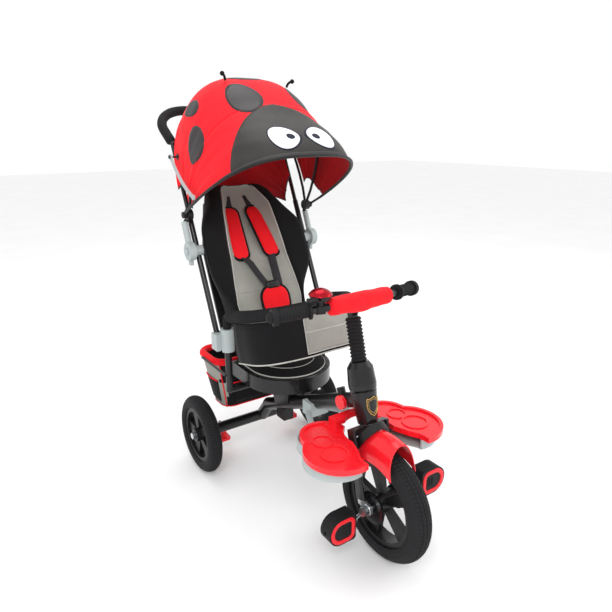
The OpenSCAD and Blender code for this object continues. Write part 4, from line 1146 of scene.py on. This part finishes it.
def build_badge():
    """Plain gold-edged shield on the head tube cover."""
    c, s = math.cos(math.radians(15)), math.sin(math.radians(15))

    def place(x, length, lift):
        r = float(np.interp(length, [194, 274], [25, 33])) + lift
        angle = x / r
        centre = at(0, 20 + length * s, 148 + length * c)
        return centre + Vector((r * math.sin(angle), -r * math.cos(angle) * c, r * math.cos(angle) * s)) * MM
    outline = [(0, -26), (-9, -19), (-15, -10), (-17, 1), (-17, 16), (-16, 19), (-9, 17.5), (0, 22), (9, 17.5),
               (16, 19), (17, 16), (17, 1), (15, -10), (9, -19)]
    fine = denser(outline, 2.5)
    verts = []
    for lift in (2.4, 0.2):
        verts.append(place(0, 240, lift))
        for ring in range(1, 6):
            for x, l in fine:
                verts.append(place(x * ring / 5, 240 + l * ring / 5, lift - (0.4 if ring == 5 and lift > 1 else 0)))
    solid("badge_plate", verts, double_disc_faces(len(fine), 5), ["black_gloss"], "frame")
    for name, scale, radius in (("badge_edge", 1.0, 1.1), ("badge_line", 0.76, 0.6)):
        path = [place(x * scale, 240 + l * scale, 2.3) for x, l in fine]
        sweep(name, path, radius * MM, "gold", "frame", 8, closed=True, up=Vector((0, -1, 0)))


def build_grip_ribs():
    for side, label in SIDES:
        knee, end = at(side * 84, BAR_S, BAR_Z), at(side * 212, 157, 621)
        axis = (end - knee).normalized()
        first = axis.orthogonal().normalized()
        other = axis.cross(first)
        turn = np.linspace(0, 2 * math.pi, 33)[:-1]
        for k, share in enumerate(np.linspace(0.46, 0.88, 9)):
            centre = knee.lerp(end, float(share))
            path = [centre + (first * math.cos(a) + other * math.sin(a)) * 14.5 * MM for a in turn]
            sweep(f"grip_rib_{label}_{k}", path, 1.3 * MM, "grip", "steering", 8, closed=True, up=axis)


# ---------------------------------------------------------------- stage and lights
def add_stage():
    size = 14.0
    mesh = bpy.data.meshes.new("floor")
    mesh.from_pydata([(-size, -size, 0), (size, -size, 0), (size, size, 0), (-size, size, 0)], [], [(0, 1, 2, 3)])
    floor = bpy.data.objects.new("floor", mesh)
    finish = Finish("studio_floor")
    finish.colour(finish.noise(finish.coords(), 3.0), (0.9, 0.9, 0.9), (0.93, 0.93, 0.93))
    finish.set({"Roughness": 0.8})
    mesh.materials.append(finish.material)
    bpy.context.collection.objects.link(floor)


def add_light(name, place, size, power, target):
    data = bpy.data.lights.new(name, "AREA")
    data.shape = "DISK"
    data.size = size
    data.energy = power
    light = bpy.data.objects.new(name, data)
    light.location = place
    light.rotation_euler = (Vector(place) - Vector(target)).to_track_quat("Z", "Y").to_euler()
    bpy.context.collection.objects.link(light)


def light_studio():
    world = bpy.data.worlds.new("studio")
    bpy.context.scene.world = world
    world.use_nodes = True
    background = world.node_tree.nodes["Background"]
    background.inputs["Color"].default_value = (1, 1, 1, 1)
    background.inputs["Strength"].default_value = 1.0
    target = (0, 0, 0.5)
    add_light("key", (-1.6, -2.2, 2.6), 1.6, 42, target)
    add_light("fill", (2.4, -1.4, 1.6), 2.2, 18, target)
    add_light("top", (0.2, 0.6, 3.2), 2.2, 26, target)
    bpy.context.scene.view_settings.view_transform = "Standard"
    bpy.context.scene.view_settings.look = "None"


add_camera()
finish_cad()
build_canopy()
build_liner()
build_harness()
build_seat()
build_guard()
build_basket()
build_bar_cover()
build_push_grip()
build_wheels()
build_pedals()
build_badge()
build_grip_ribs()
add_stage()
light_studio()
